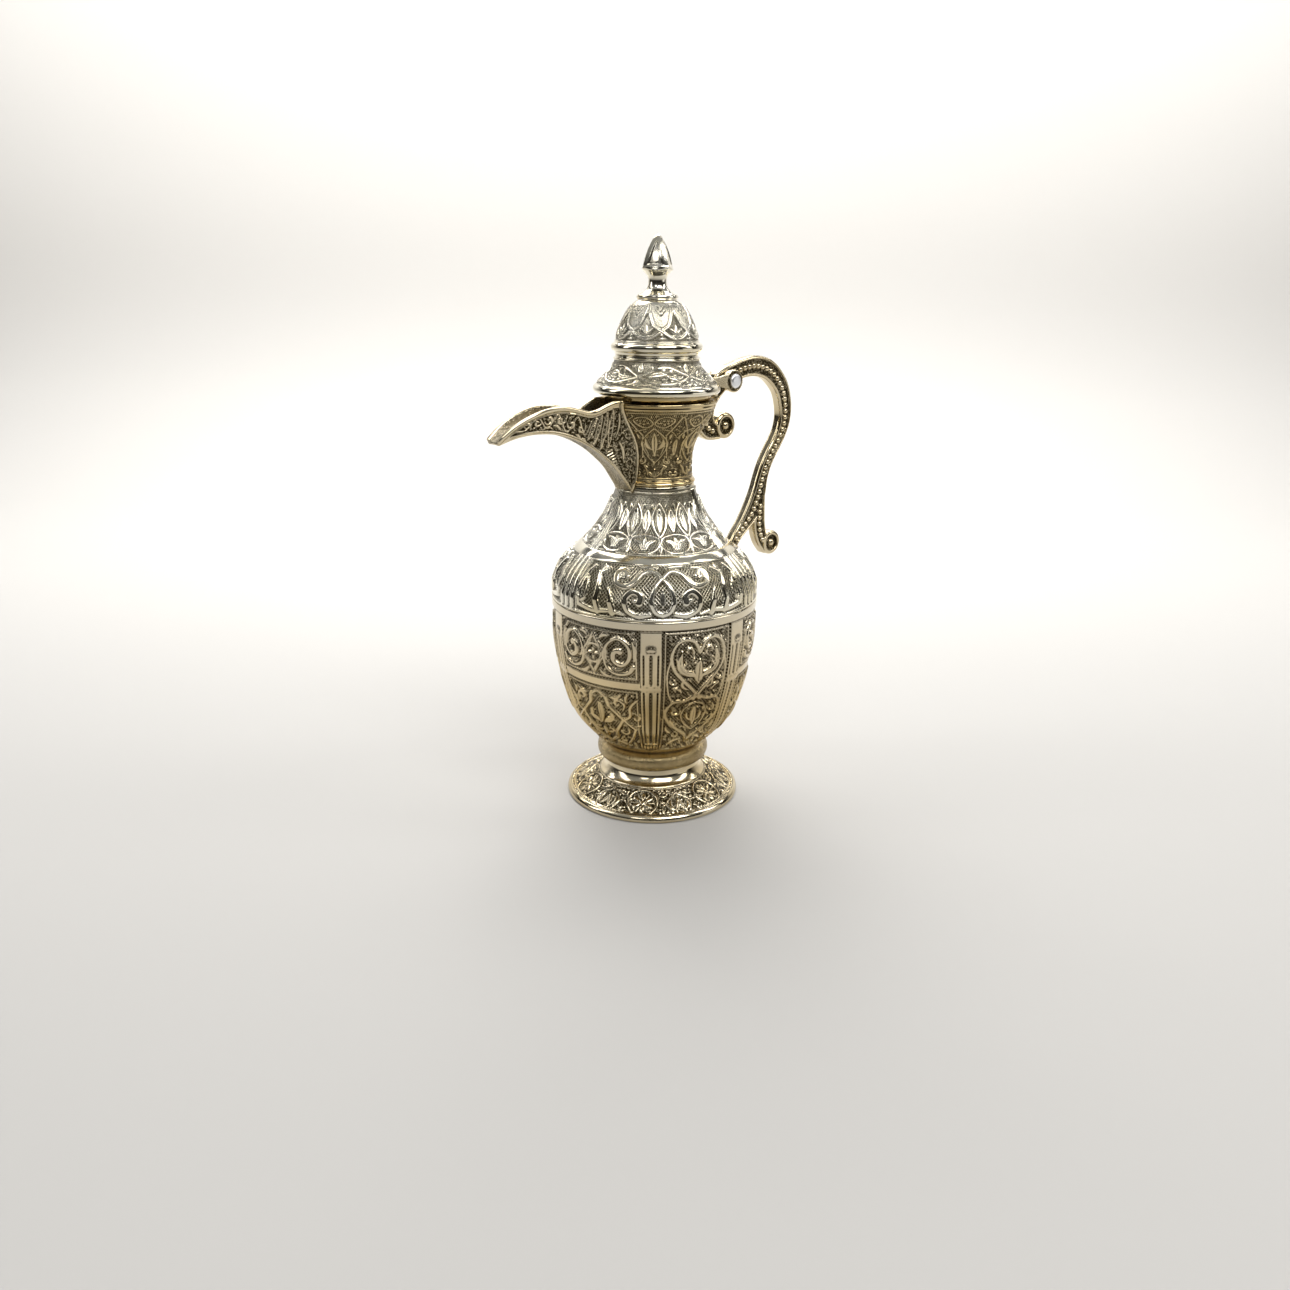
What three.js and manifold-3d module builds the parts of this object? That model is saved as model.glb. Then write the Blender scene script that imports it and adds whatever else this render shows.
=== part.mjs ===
// A cast and plated coffee pot (dallah) with a hinged lid, millimetres, +Z up.
// The origin is on the pot's axis at the foot's resting plane. The spout points along -X, the
// handle along +X and the lid turns about a pin that lies along Y.
import * as THREE from 'three';
import { mergeVertices } from 'three/addons/utils/BufferGeometryUtils.js';
import Module from 'manifold-3d';

const wasm = await Module();
wasm.setup();

// Driving dimensions.
const REACH = 73.6; // spout tip and handle back, from the axis
const FOOT_TOP = 14.8; // top of the foot's web, under the stem collar
const FOOT_WEB = 2.0; // thickness of that web
const BOWL_BASE = 24.2; // underside of the lower body
const SEAM = 85.0; // joint between lower and upper body
const WAIST = 130.2; // joint between upper body and neck
const RIM = 161.3; // top edge of the neck
const BRIM_BASE = 163.7; // underside of the lid's brim
const LID_GROOVE = 177.6; // joint between lid skirt and lid dome
const DOME_TOP = 197.2; // seat of the finial
const TIP = 220.0; // point of the finial
const SPIGOT = 3.0; // height of each locating spigot
const GAP = 0.3; // clearance between neighbouring castings
const CASTING_WALL = 1.8;

// Hinge.
const PIN_X = 36.0;
const PIN_Z = 166.5;
const PIN_RADIUS = 1.5;
const PIN_BORE = 1.9;
const PIN_HEAD_RADIUS = 3.2;
const PIN_HEAD_HEIGHT = 1.0;
const EYE_RADIUS = 4.4;
const EAR_INNER = 3.8; // inner face of each ear, from the middle plane
const EAR_OUTER = 5.6;

// Handle and spout.
const HANDLE_WIDTH = 4.6;
const KNUCKLE_WIDTH = 7.0;
const HANDLE_BEVEL = 0.9;
const SPOUT_WALL = 1.4;
const SPOUT_FLOOR = 1.8;
const NECK_SLOT_WIDTH = 9.0;
const NECK_SLOT_BASE = 136.0;

// Fasteners.
const BOLT_RADIUS = 2.0;
const BOLT_HEAD_RADIUS = 3.6;
const BOLT_WASHER_RADIUS = 5.2;
const BOLT_HEAD_HEIGHT = 2.8;
const BOLT_TIP = 30.2;
const BOSS_TOP = 33.0;
const BOSS_RADIUS = 6.0;
const BOLT_HOLE_TOP = 31.0;
const WASHER_THICKNESS = 0.8;
const SCREW_RADIUS = 1.25;
const SCREW_HEAD_RADIUS = 2.2;
const SCREW_HEAD_HEIGHT = 1.8;
const SCREW_HOLE = 1.7;
const WASHER_RADIUS = 2.7;
const SPOT_FACE_RADIUS = 2.9; // flat seat milled into a curved wall under a washer

// Fineness of the round work.
const BODY_SEGMENTS = 32;
const SMALL_SEGMENTS = 18;
const STROKE_STEP = 4.0; // spacing of outline points along a handle stroke

const CHAMPAGNE = { color: 0xb9a57c, roughness: 0.3, metalness: 1.0 };
const GOLDEN = { color: 0xa58a56, roughness: 0.33, metalness: 1.0 };
const SILVER = { color: 0xc9c0a8, roughness: 0.25, metalness: 1.0 };
const STEEL = { color: 0xa9abad, roughness: 0.4, metalness: 1.0 };
const BRIGHT_PIN = { color: 0xd6d8da, roughness: 0.25, metalness: 1.0 };

const pot = new THREE.Group();

function addPiece(name, geometry, look, group = pot) {
  const mesh = new THREE.Mesh(geometry, new THREE.MeshStandardMaterial(look));
  mesh.name = name;
  group.add(mesh);
  return mesh;
}

// ---------------------------------------------------------------- solids

function toSolid(geometry) {
  const bare = geometry.clone();
  bare.deleteAttribute('normal');
  bare.deleteAttribute('uv');
  const merged = mergeVertices(bare, 1e-4);
  const vertProperties = new Float32Array(merged.attributes.position.array);
  const triVerts = new Uint32Array(merged.index.array);
  return new wasm.Manifold(new wasm.Mesh({ numProp: 3, vertProperties, triVerts }));
}

function toGeometry(solid) {
  const mesh = solid.getMesh();
  const geometry = new THREE.BufferGeometry();
  geometry.setAttribute('position', new THREE.BufferAttribute(mesh.vertProperties, 3));
  geometry.setIndex(new THREE.BufferAttribute(mesh.triVerts, 1));
  geometry.computeVertexNormals();
  return geometry;
}

// Turns an outline of [radius, height] pairs about Z. The outline runs up the outside and
// down the inside; a closed one is given with closed = true.
function turned(outline, segments = BODY_SEGMENTS, closed = true) {
  const points = outline.map(([radius, height]) => new THREE.Vector2(radius, height));
  if (closed) {
    points.push(points[0].clone());
  }
  return new THREE.LatheGeometry(points, segments).rotateX(Math.PI / 2);
}

function ring(inner, outer, low, high, segments = SMALL_SEGMENTS) {
  return turned([[outer, low], [outer, high], [inner, high], [inner, low]], segments);
}

function rod(radius, low, high, segments = SMALL_SEGMENTS) {
  return turned([[0, low], [radius, low], [radius, high], [0, high]], segments, false);
}

// Points of an arc in the [radius, height] plane, from one angle to another, in degrees.
function arc(centreRadius, centreHeight, radius, from, to, steps) {
  return Array.from({ length: steps + 1 }, (_, i) => {
    const angle = THREE.MathUtils.degToRad(from + ((to - from) * i) / steps);
    return [centreRadius + radius * Math.cos(angle), centreHeight + radius * Math.sin(angle)];
  });
}

// The inside of a wall: an outline moved inwards by its thickness, listed from top to bottom.
function innerWall(outline, thickness) {
  return outline
    .map(([radius, height], i) => {
      const [r0, z0] = outline[Math.max(i - 1, 0)];
      const [r1, z1] = outline[Math.min(i + 1, outline.length - 1)];
      const length = Math.hypot(r1 - r0, z1 - z0);
      return [radius - (thickness * (z1 - z0)) / length, height + (thickness * (r1 - r0)) / length];
    })
    .reverse();
}

function box(x0, x1, y0, y1, z0, z1) {
  const geometry = new THREE.BoxGeometry(x1 - x0, y1 - y0, z1 - z0);
  return geometry.translate((x0 + x1) / 2, (y0 + y1) / 2, (z0 + z1) / 2);
}

// A rod that lies along Y through a point of the middle plane.
function crossRod(radius, x, z, y0, y1, segments = SMALL_SEGMENTS) {
  return rod(radius, y0, y1, segments).rotateX(-Math.PI / 2).translate(x, 0, z);
}

// ---------------------------------------------------------------- foot and stem

const footOutside = [
  [35.2, 0],
  [35.7, 0.7],
  [35.4, 1.9],
  [34.5, 2.8],
  [33.3, 3.1],
  [32.5, 2.7],
  [28.9, 5.0],
  [25.0, 7.3],
  [21.4, 9.2],
  [19.4, 10.8],
  [18.3, 12.4],
  [18.0, FOOT_TOP],
];

function makeFoot() {
  const underWeb = FOOT_TOP - FOOT_WEB;
  const inside = [
    [2.6, FOOT_TOP],
    [2.6, underWeb],
    [16.4, underWeb],
    [18.0, 10.0],
    [20.4, 7.7],
    [24.1, 5.6],
    [28.0, 3.3],
    [31.5, 1.2],
    [32.9, 0],
  ];
  return turned([...footOutside, ...inside]);
}

function makeStemCollar() {
  const bead = arc(19.0, 19.4, 3.9, -78, 78, 8);
  return turned([[6.6, FOOT_TOP], [18.0, FOOT_TOP], ...bead, [19.4, BOWL_BASE], [6.6, BOWL_BASE]]);
}

// ---------------------------------------------------------------- body

const bowlOutside = [
  [21.9, 25.0],
  [25.1, 28.0],
  [28.7, 32.0],
  [31.7, 36.0],
  [33.8, 40.2],
  [36.2, 48.0],
  [38.2, 56.0],
  [39.7, 66.0],
  [40.7, 77.0],
];
const SEAM_RADIUS = 41.0;
const SPIGOT_OUTER = 39.0;
const SPIGOT_INNER = 37.8;

function makeLowerBody() {
  return turned(
    [
      [0, BOLT_HOLE_TOP],
      [BOLT_RADIUS + GAP, BOLT_HOLE_TOP],
      [BOLT_RADIUS + GAP, BOWL_BASE],
      [21.3, BOWL_BASE],
      ...bowlOutside,
      [SEAM_RADIUS, SEAM],
      [SPIGOT_OUTER, SEAM],
      [SPIGOT_OUTER, SEAM + SPIGOT],
      [SPIGOT_INNER, SEAM + SPIGOT],
      [SPIGOT_INNER, SEAM - SPIGOT],
      ...innerWall(bowlOutside, CASTING_WALL).slice(0, -1),
      [18.0, 26.8],
      [BOSS_RADIUS + 0.6, 26.8],
      [BOSS_RADIUS, BOSS_TOP],
      [0, BOSS_TOP],
    ],
    BODY_SEGMENTS,
    false,
  );
}

const shoulderOutside = [
  [40.7, 89.5],
  [39.7, 92.9],
  [38.0, 97.0],
  [35.5, 100.3],
  [32.0, 103.8],
  [28.5, 106.8],
  [25.3, 110.1],
  [22.3, 113.9],
  [19.4, 118.4],
  [17.2, 123.4],
  [15.7, 127.8],
];
const WAIST_RADIUS = 15.1;
const WAIST_SPIGOT_OUTER = 12.2;
const WAIST_SPIGOT_INNER = 11.1;

function makeUpperBody() {
  const sleeve = SPIGOT_OUTER + GAP;
  return turned([
    [SEAM_RADIUS, SEAM],
    ...shoulderOutside,
    [WAIST_RADIUS, WAIST],
    [WAIST_SPIGOT_OUTER, WAIST],
    [WAIST_SPIGOT_OUTER, WAIST + SPIGOT],
    [WAIST_SPIGOT_INNER, WAIST + SPIGOT],
    [WAIST_SPIGOT_INNER, WAIST - 1.5],
    ...innerWall(shoulderOutside, CASTING_WALL),
    [sleeve, SEAM + SPIGOT + GAP],
    [sleeve, SEAM],
  ]);
}

const neckOutside = [
  [WAIST_RADIUS, WAIST],
  [15.1, 131.2],
  [14.4, 132.0],
  [14.05, 134.5],
  [14.0, 138.0],
  [14.3, 142.2],
  [15.2, 145.6],
  [17.0, 149.2],
  [19.3, 152.7],
  [21.3, 156.0],
  [22.8, 159.2],
  [23.3, 160.6],
  [23.2, RIM],
];
const neckInside = [
  [22.0, RIM],
  [21.5, 159.4],
  [19.9, 156.0],
  [17.9, 152.9],
  [15.6, 149.2],
  [13.7, 145.4],
  [12.8, 142.0],
  [12.5, 138.0],
  [12.5, WAIST],
];

const ENVELOPE_BASE = 88.0; // below the lowest point of the handle's foot
const ENVELOPE_RIM_RADIUS = 23.2;

// The outside of neck and shoulder as one plain solid, grown by a clearance, for cutting
// whatever is seated against them.
function bodyEnvelope(clearance) {
  const outline = [
    [SEAM_RADIUS + clearance, ENVELOPE_BASE],
    ...shoulderOutside.map(([radius, height]) => [radius + clearance, height]),
    ...neckOutside.map(([radius, height]) => [radius + clearance, height]),
    [ENVELOPE_RIM_RADIUS + clearance, RIM + 5],
  ];
  return toSolid(turned([[0, ENVELOPE_BASE], ...outline, [0, RIM + 5]], BODY_SEGMENTS, false));
}

// ---------------------------------------------------------------- screws

// A screw or washer is turned about Z with its seat at the origin and its thread pointing up,
// then laid along its own axis.
function screw(length, radius, headRadius, headHeight, segments = 12) {
  return turned(
    [
      [0, -headHeight],
      [headRadius * 0.8, -headHeight],
      [headRadius, -headHeight * 0.6],
      [headRadius, 0],
      [radius, 0],
      [radius, length],
      [0, length],
    ],
    segments,
    false,
  );
}

function placeAlong(mesh, seat, direction) {
  mesh.position.set(...seat);
  mesh.quaternion.setFromUnitVectors(new THREE.Vector3(0, 0, 1), direction);
}

function alongSolid(geometry, seat, direction) {
  const turn = new THREE.Quaternion().setFromUnitVectors(new THREE.Vector3(0, 0, 1), direction);
  return toSolid(geometry.applyQuaternion(turn).translate(...seat));
}

// Seats of the two handle screws: a point inside the wall and the way the thread points.
const topScrewSeat = [16.7, 0, 152.9];
const topScrewWay = new THREE.Vector3(0.83, 0, -0.56).normalize();
const bottomScrewSeat = [36.1, 0, 92.5];
const bottomScrewWay = new THREE.Vector3(0.58, 0, 0.81).normalize();
const HANDLE_SCREW_LENGTH = 8.5;

function screwHole(seat, way) {
  return alongSolid(rod(SCREW_HOLE, -4, HANDLE_SCREW_LENGTH + 0.8, 12), seat, way);
}

// The hole of a handle screw through a body wall, with the washer's flat seat.
function wallHole(seat, way) {
  const face = alongSolid(rod(SPOT_FACE_RADIUS, -3, WASHER_THICKNESS), seat, way);
  return screwHole(seat, way).add(face);
}

// ---------------------------------------------------------------- neck

function makeNeck() {
  const tube = toSolid(turned([...neckOutside, ...neckInside]));
  const half = NECK_SLOT_WIDTH / 2;
  const slot = toSolid(box(-30, -5, -half, half, NECK_SLOT_BASE, RIM + 2));
  return toGeometry(tube.subtract(slot).subtract(wallHole(topScrewSeat, topScrewWay)));
}

// ---------------------------------------------------------------- spout

// Stations of the beak from its tip to its root inside the neck: top edge, bottom edge and
// the half widths there.
const spoutStations = [
  { top: [-REACH, 151.9], bottom: [-72.9, 150.0], wide: 3.7, narrow: 3.3 },
  { top: [-71.2, 153.6], bottom: [-69.6, 151.0], wide: 4.2, narrow: 3.3 },
  { top: [-66.6, 156.7], bottom: [-64.4, 152.1], wide: 4.7, narrow: 3.2 },
  { top: [-60.4, 159.4], bottom: [-57.8, 152.6], wide: 5.0, narrow: 3.1 },
  { top: [-53.8, 161.2], bottom: [-51.0, 152.2], wide: 5.2, narrow: 3.1 },
  { top: [-47.0, 161.6], bottom: [-45.0, 150.9], wide: 5.2, narrow: 3.1 },
  { top: [-41.0, 160.6], bottom: [-38.8, 148.6], wide: 5.2, narrow: 3.2 },
  { top: [-36.0, 159.3], bottom: [-32.6, 145.3], wide: 5.3, narrow: 3.3 },
  { top: [-32.5, 159.6], bottom: [-27.6, 141.6], wide: 5.6, narrow: 3.5 },
  { top: [-28.5, 161.2], bottom: [-22.8, 137.4], wide: 6.2, narrow: 3.9 },
  { top: [-25.0, 162.3], bottom: [-18.8, 132.4], wide: 7.0, narrow: 4.4 },
  { top: [-21.5, 162.4], bottom: [-15.6, 127.8], wide: 7.8, narrow: 5.0 },
  { top: [-10.0, 162.4], bottom: [-8.0, 123.8], wide: 7.8, narrow: 5.2 },
];

// A solid through four-cornered sections, each listed bottom far, bottom near, top near and
// top far, from the -X end to the +X end.
function loft(sections) {
  const corners = 4;
  const positions = sections.flat(2);
  const index = [0, 1, 2, 0, 2, 3];
  for (let s = 0; s + 1 < sections.length; s += 1) {
    for (let c = 0; c < corners; c += 1) {
      const a = s * corners + c;
      const b = s * corners + ((c + 1) % corners);
      index.push(a, b + corners, b, a, a + corners, b + corners);
    }
  }
  const last = (sections.length - 1) * corners;
  index.push(last, last + 2, last + 1, last, last + 3, last + 2);
  const geometry = new THREE.BufferGeometry();
  geometry.setAttribute('position', new THREE.Float32BufferAttribute(positions, 3));
  geometry.setIndex(index);
  return geometry;
}

function section(low, high, lowHalf, highHalf) {
  return [
    [low[0], lowHalf, low[1]],
    [low[0], -lowHalf, low[1]],
    [high[0], -highHalf, high[1]],
    [high[0], highHalf, high[1]],
  ];
}

function alongEdge(from, to, distance) {
  const length = Math.hypot(to[0] - from[0], to[1] - from[1]);
  return from.map((value, i) => value + ((to[i] - value) * distance) / length);
}

function makeSpout() {
  const outside = spoutStations.map((s) => section(s.bottom, s.top, s.narrow, s.wide));
  const trough = spoutStations.slice(1).map((s) => {
    const floor = alongEdge(s.bottom, s.top, SPOUT_FLOOR);
    const above = alongEdge(s.top, s.bottom, -4);
    return section(floor, above, s.narrow - SPOUT_WALL, s.wide - SPOUT_WALL);
  });
  const shell = toSolid(loft(outside)).subtract(toSolid(loft(trough)));
  return toGeometry(shell.subtract(bodyEnvelope(GAP)));
}

// ---------------------------------------------------------------- handle

// Strokes of the handle in the middle plane: centre X, centre Z and half thickness.
const mainStroke = [
  [31.0, 167.6, 2.2],
  [36.2, 168.3, 3.9],
  [41.0, 169.8, 3.8],
  [45.8, 171.0, 3.9],
  [52.0, 171.4, 4.1],
  [58.4, 169.9, 4.2],
  [63.4, 166.5, 4.1],
  [67.6, 161.4, 3.9],
  [REACH - 3.7, 155.0, 3.7],
  [69.9, 149.5, 3.4],
  [68.4, 144.2, 3.1],
  [65.6, 139.4, 3.0],
  [62.6, 135.2, 3.0],
  [59.8, 130.4, 3.0],
  [57.8, 125.0, 3.2],
  [56.3, 119.0, 3.8],
  [53.2, 112.0, 4.2],
  [48.6, 106.6, 3.2],
  [44.6, 102.4, 2.6],
  [41.5, 98.0, 2.4],
  [37.5, 92.4, 2.4],
];
const tailStroke = [
  [57.8, 118.0, 2.2],
  [57.2, 111.0, 3.0],
  [57.2, 105.0, 3.5],
  [58.8, 99.6, 3.4],
  [61.8, 95.4, 3.2],
];
const bracketStroke = [
  [33.4, 164.6, 2.5],
  [29.6, 161.6, 2.9],
  [26.8, 158.6, 3.4],
  [25.0, 155.2, 3.9],
  [24.2, 151.6, 4.7],
  [26.6, 148.0, 4.2],
  [31.6, 146.4, 2.9],
];
const volutes = [
  [64.7, 96.7, 5.2],
  [35.3, 148.8, 5.2],
];

// The outline of a stroke: its centre line as a smooth curve, offset to both sides.
function strokeShape(stroke) {
  const line = new THREE.CatmullRomCurve3(stroke.map(([x, z, half]) => new THREE.Vector3(x, z, half)));
  const steps = Math.round(line.getLength() / STROKE_STEP);
  const left = [];
  const right = [];
  for (let i = 0; i <= steps; i += 1) {
    const centre = line.getPoint(i / steps);
    const way = line.getTangent(i / steps);
    const side = new THREE.Vector2(-way.y, way.x).normalize().multiplyScalar(centre.z);
    left.push(new THREE.Vector2(centre.x + side.x, centre.y + side.y));
    right.push(new THREE.Vector2(centre.x - side.x, centre.y - side.y));
  }
  return new THREE.Shape([...right, ...left.reverse()]);
}

function discShape(x, z, radius) {
  return new THREE.Shape().absarc(x, z, radius, 0, Math.PI * 2);
}

// A flat casting cut from a shape in the middle plane, with bevelled edges.
function plate(shape, width, bevel, curveSegments = 5) {
  const geometry = new THREE.ExtrudeGeometry(shape, {
    depth: width - 2 * bevel,
    bevelEnabled: bevel > 0,
    bevelThickness: bevel,
    bevelSize: bevel,
    bevelOffset: -bevel,
    bevelSegments: 1,
    curveSegments,
  });
  return geometry.translate(0, 0, bevel - width / 2).rotateX(Math.PI / 2);
}

function makeHandle() {
  const shapes = [mainStroke, tailStroke, bracketStroke].map(strokeShape);
  volutes.forEach(([x, z, radius]) => shapes.push(discShape(x, z, radius)));
  const plates = shapes.map((shape) => toSolid(plate(shape, HANDLE_WIDTH, HANDLE_BEVEL)));
  const knuckle = toSolid(
    crossRod(EYE_RADIUS - GAP, PIN_X, PIN_Z, -KNUCKLE_WIDTH / 2, KNUCKLE_WIDTH / 2),
  );
  const bore = toSolid(crossRod(PIN_BORE, PIN_X, PIN_Z, -HANDLE_WIDTH, HANDLE_WIDTH, 12));
  const body = plates.reduce((sum, next) => sum.add(next), knuckle);
  const cut = body
    .subtract(bodyEnvelope(GAP))
    .subtract(bore)
    .subtract(screwHole(topScrewSeat, topScrewWay))
    .subtract(screwHole(bottomScrewSeat, bottomScrewWay));
  return toGeometry(cut);
}

// ---------------------------------------------------------------- lid

const BRIM_RADIUS = 24.25;

function makeLidSkirt() {
  const bowl = toSolid(
    turned([
      [23.4, BRIM_BASE],
      [24.0, 164.4],
      [BRIM_RADIUS, 165.3],
      [24.0, 166.4],
      [23.2, 167.1],
      [21.2, 169.1],
      [19.0, 170.9],
      [17.2, 172.8],
      [16.2, 175.0],
      [15.7, LID_GROOVE],
      [14.2, LID_GROOVE],
      [14.2, LID_GROOVE + 2.4],
      [13.1, LID_GROOVE + 2.4],
      [13.1, 177.0],
      [14.6, 173.2],
      [17.0, 170.2],
      [19.6, 167.9],
      [21.2, 166.4],
      [21.2, BRIM_BASE],
    ]),
  );
  const arm = new THREE.Shape();
  arm.moveTo(21.5, 164.2);
  arm.lineTo(PIN_X, PIN_Z - EYE_RADIUS);
  arm.absarc(PIN_X, PIN_Z, EYE_RADIUS, -Math.PI / 2, Math.PI / 2);
  arm.lineTo(21.5, 168.2);
  const thickness = EAR_OUTER - EAR_INNER;
  const middle = (EAR_OUTER + EAR_INNER) / 2;
  const inside = toSolid(rod(20.2, 150, 190, BODY_SEGMENTS));
  const ears = [-middle, middle].map((y) => {
    const ear = toSolid(plate(arm, thickness, 0).translate(0, y, 0)).subtract(inside);
    return ear.subtract(toSolid(crossRod(PIN_BORE, PIN_X, PIN_Z, -10, 10, 12)));
  });
  return toGeometry(bowl.add(ears[0]).add(ears[1]));
}

function makeLidDome() {
  const bead = arc(15.6, 180.4, 1.6, -60, 60, 4);
  return turned([
    [14.5, LID_GROOVE],
    [15.7, LID_GROOVE],
    ...bead,
    [15.5, 183.2],
    [14.3, 186.6],
    [13.0, 190.0],
    [11.4, 193.2],
    [9.3, 195.8],
    [7.6, DOME_TOP],
    [SCREW_HOLE, DOME_TOP],
    [SCREW_HOLE, DOME_TOP - 2],
    [6.8, DOME_TOP - 2],
    [9.2, 193.2],
    [11.2, 190.0],
    [12.6, 186.6],
    [14.0, 182.6],
    [14.5, 180.4],
  ]);
}

function makeLidCollar() {
  return turned([
    [19.8, 158.4],
    [20.8, 162.8],
    [20.8, 166.0],
    [19.6, 166.0],
    [19.6, 163.0],
    [18.7, 158.4],
  ]);
}

function makeFinial() {
  return turned(
    [
      [0, DOME_TOP + 5.8],
      [1.5, DOME_TOP + 5.8],
      [1.5, DOME_TOP],
      [7.6, DOME_TOP],
      [7.7, 198.1],
      [7.0, 199.2],
      [5.2, 200.2],
      [3.7, 201.4],
      [3.2, 203.6],
      [3.7, 205.6],
      [5.3, 207.3],
      [6.0, 208.5],
      [5.4, 210.4],
      [4.5, 212.8],
      [2.8, 216.6],
      [1.2, 219.0],
      [0, TIP],
    ],
    SMALL_SEGMENTS,
    false,
  );
}

function makeHingePin() {
  const half = EAR_OUTER + GAP;
  const tip = half + PIN_HEAD_HEIGHT;
  const outline = [
    [0, -tip],
    [PIN_HEAD_RADIUS * 0.7, -tip],
    [PIN_HEAD_RADIUS, -half - 0.3],
    [PIN_HEAD_RADIUS, -half],
    [PIN_RADIUS, -half],
    [PIN_RADIUS, half],
    [PIN_HEAD_RADIUS, half],
    [PIN_HEAD_RADIUS, half + 0.3],
    [PIN_HEAD_RADIUS * 0.7, tip],
    [0, tip],
  ];
  return turned(outline, 16, false).rotateX(-Math.PI / 2).translate(PIN_X, 0, PIN_Z);
}

// ---------------------------------------------------------------- assembly

addPiece('foot', makeFoot(), CHAMPAGNE);
addPiece('stem_collar', makeStemCollar(), GOLDEN);
addPiece('lower_body', makeLowerBody(), GOLDEN);
const upperHole = wallHole(bottomScrewSeat, bottomScrewWay);
addPiece('upper_body', toGeometry(toSolid(makeUpperBody()).subtract(upperHole)), SILVER);
addPiece('neck', makeNeck(), GOLDEN);
addPiece('spout', makeSpout(), CHAMPAGNE);
addPiece('handle', makeHandle(), CHAMPAGNE);

const boltSeat = FOOT_TOP - FOOT_WEB - WASHER_THICKNESS;
const boltGeometry = screw(BOLT_TIP - boltSeat, BOLT_RADIUS, BOLT_HEAD_RADIUS, BOLT_HEAD_HEIGHT);
addPiece('foot_bolt', boltGeometry, STEEL).position.z = boltSeat;
addPiece(
  'foot_washer',
  ring(BOLT_RADIUS + GAP, BOLT_WASHER_RADIUS, boltSeat, boltSeat + WASHER_THICKNESS),
  STEEL,
);

const up = new THREE.Vector3(0, 0, 1);
const screwSets = [
  ['handle_top', topScrewSeat, topScrewWay, HANDLE_SCREW_LENGTH],
  ['handle_bottom', bottomScrewSeat, bottomScrewWay, HANDLE_SCREW_LENGTH],
  ['finial', [0, 0, DOME_TOP - 2 - WASHER_THICKNESS], up, 8.0],
];
for (const [name, seat, way, length] of screwSets) {
  const geometry = screw(length, SCREW_RADIUS, SCREW_HEAD_RADIUS, SCREW_HEAD_HEIGHT);
  placeAlong(addPiece(`${name}_screw`, geometry, STEEL), seat, way);
  const washer = ring(SCREW_RADIUS + GAP, WASHER_RADIUS, 0.02, WASHER_THICKNESS - 0.02, 12);
  placeAlong(addPiece(`${name}_washer`, washer, STEEL), seat, way);
}

addPiece('lid_skirt', makeLidSkirt(), SILVER);
addPiece('lid_dome', makeLidDome(), SILVER);
addPiece('lid_collar', makeLidCollar(), GOLDEN);
addPiece('finial', makeFinial(), SILVER);
addPiece('hinge_pin', makeHingePin(), BRIGHT_PIN);

export default pot;
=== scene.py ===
"""Looks of the dallah coffee pot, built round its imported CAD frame.

Lengths in this script are millimetres, in the part's own frame: +Z up the pot's axis, -X
towards the spout, +X towards the handle. They become metres when a mesh is made.
"""

import math

import bpy
import numpy as np
from mathutils import Matrix


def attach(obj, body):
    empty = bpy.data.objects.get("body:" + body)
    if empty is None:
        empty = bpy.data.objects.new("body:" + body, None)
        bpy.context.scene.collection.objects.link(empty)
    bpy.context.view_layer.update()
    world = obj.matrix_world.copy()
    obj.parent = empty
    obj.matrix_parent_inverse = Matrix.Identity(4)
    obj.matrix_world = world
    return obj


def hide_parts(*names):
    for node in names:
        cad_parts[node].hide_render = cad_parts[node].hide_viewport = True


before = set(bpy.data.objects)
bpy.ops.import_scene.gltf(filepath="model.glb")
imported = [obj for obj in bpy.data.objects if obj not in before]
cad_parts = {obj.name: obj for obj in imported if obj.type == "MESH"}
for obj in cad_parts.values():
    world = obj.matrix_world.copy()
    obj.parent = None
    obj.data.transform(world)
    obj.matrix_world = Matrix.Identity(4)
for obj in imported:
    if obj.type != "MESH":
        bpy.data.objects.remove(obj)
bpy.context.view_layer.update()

MM = 0.001
FINENESS = 1.0
BODY_RADIUS = 40.97
PATINA_AND_SHADE_LAYER = "patina_and_shade"  # vertex attribute: 0 on a polished ridge, 1 in a patinated recess; it also carries painted shade and painted reflection, darkest in crevices beside ridges, round the spout's root and over the stem ring


# ---------------------------------------------------------------- curves


def bend(knots, closed=False):
    """A smooth curve through the knots, with eight steps between each two."""
    p = np.asarray(knots, float)
    if closed:
        ends = np.vstack([p[-1:], p, p[:2]])
    else:
        ends = np.vstack([2 * p[0] - p[1], p, 2 * p[-1] - p[-2]])
    t = (np.arange(8) / 8)[:, None]
    spans = []
    for a, b, c, d in zip(ends, ends[1:], ends[2:], ends[3:]):
        cubic = -a + 3 * b - 3 * c + d
        square = 2 * a - 5 * b + 4 * c - d
        spans.append(0.5 * (2 * b + (c - a) * t + square * t**2 + cubic * t**3))
    spans.append(p[:1] if closed else p[-1:])
    return np.vstack(spans)


def circle(x, y, radius):
    a = np.radians(np.linspace(0, 360, 29))
    return np.column_stack([x + radius * np.cos(a), y + radius * np.sin(a)])


def direction(angle):
    """The unit vector at an angle in degrees."""
    return np.array([math.cos(math.radians(angle)), math.sin(math.radians(angle))])


def mirrored(points):
    return np.asarray(points, float) * (-1, 1)


def twins(points, pair=True):
    """A line alone, or with its mirror image."""
    return (points, mirrored(points)) if pair else (points,)


def arc_length(line):
    """How far along a line each of its points lies, in its first two coordinates."""
    return np.r_[0, np.cumsum(np.hypot(*np.diff(line[:, :2], axis=0).T))]


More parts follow.
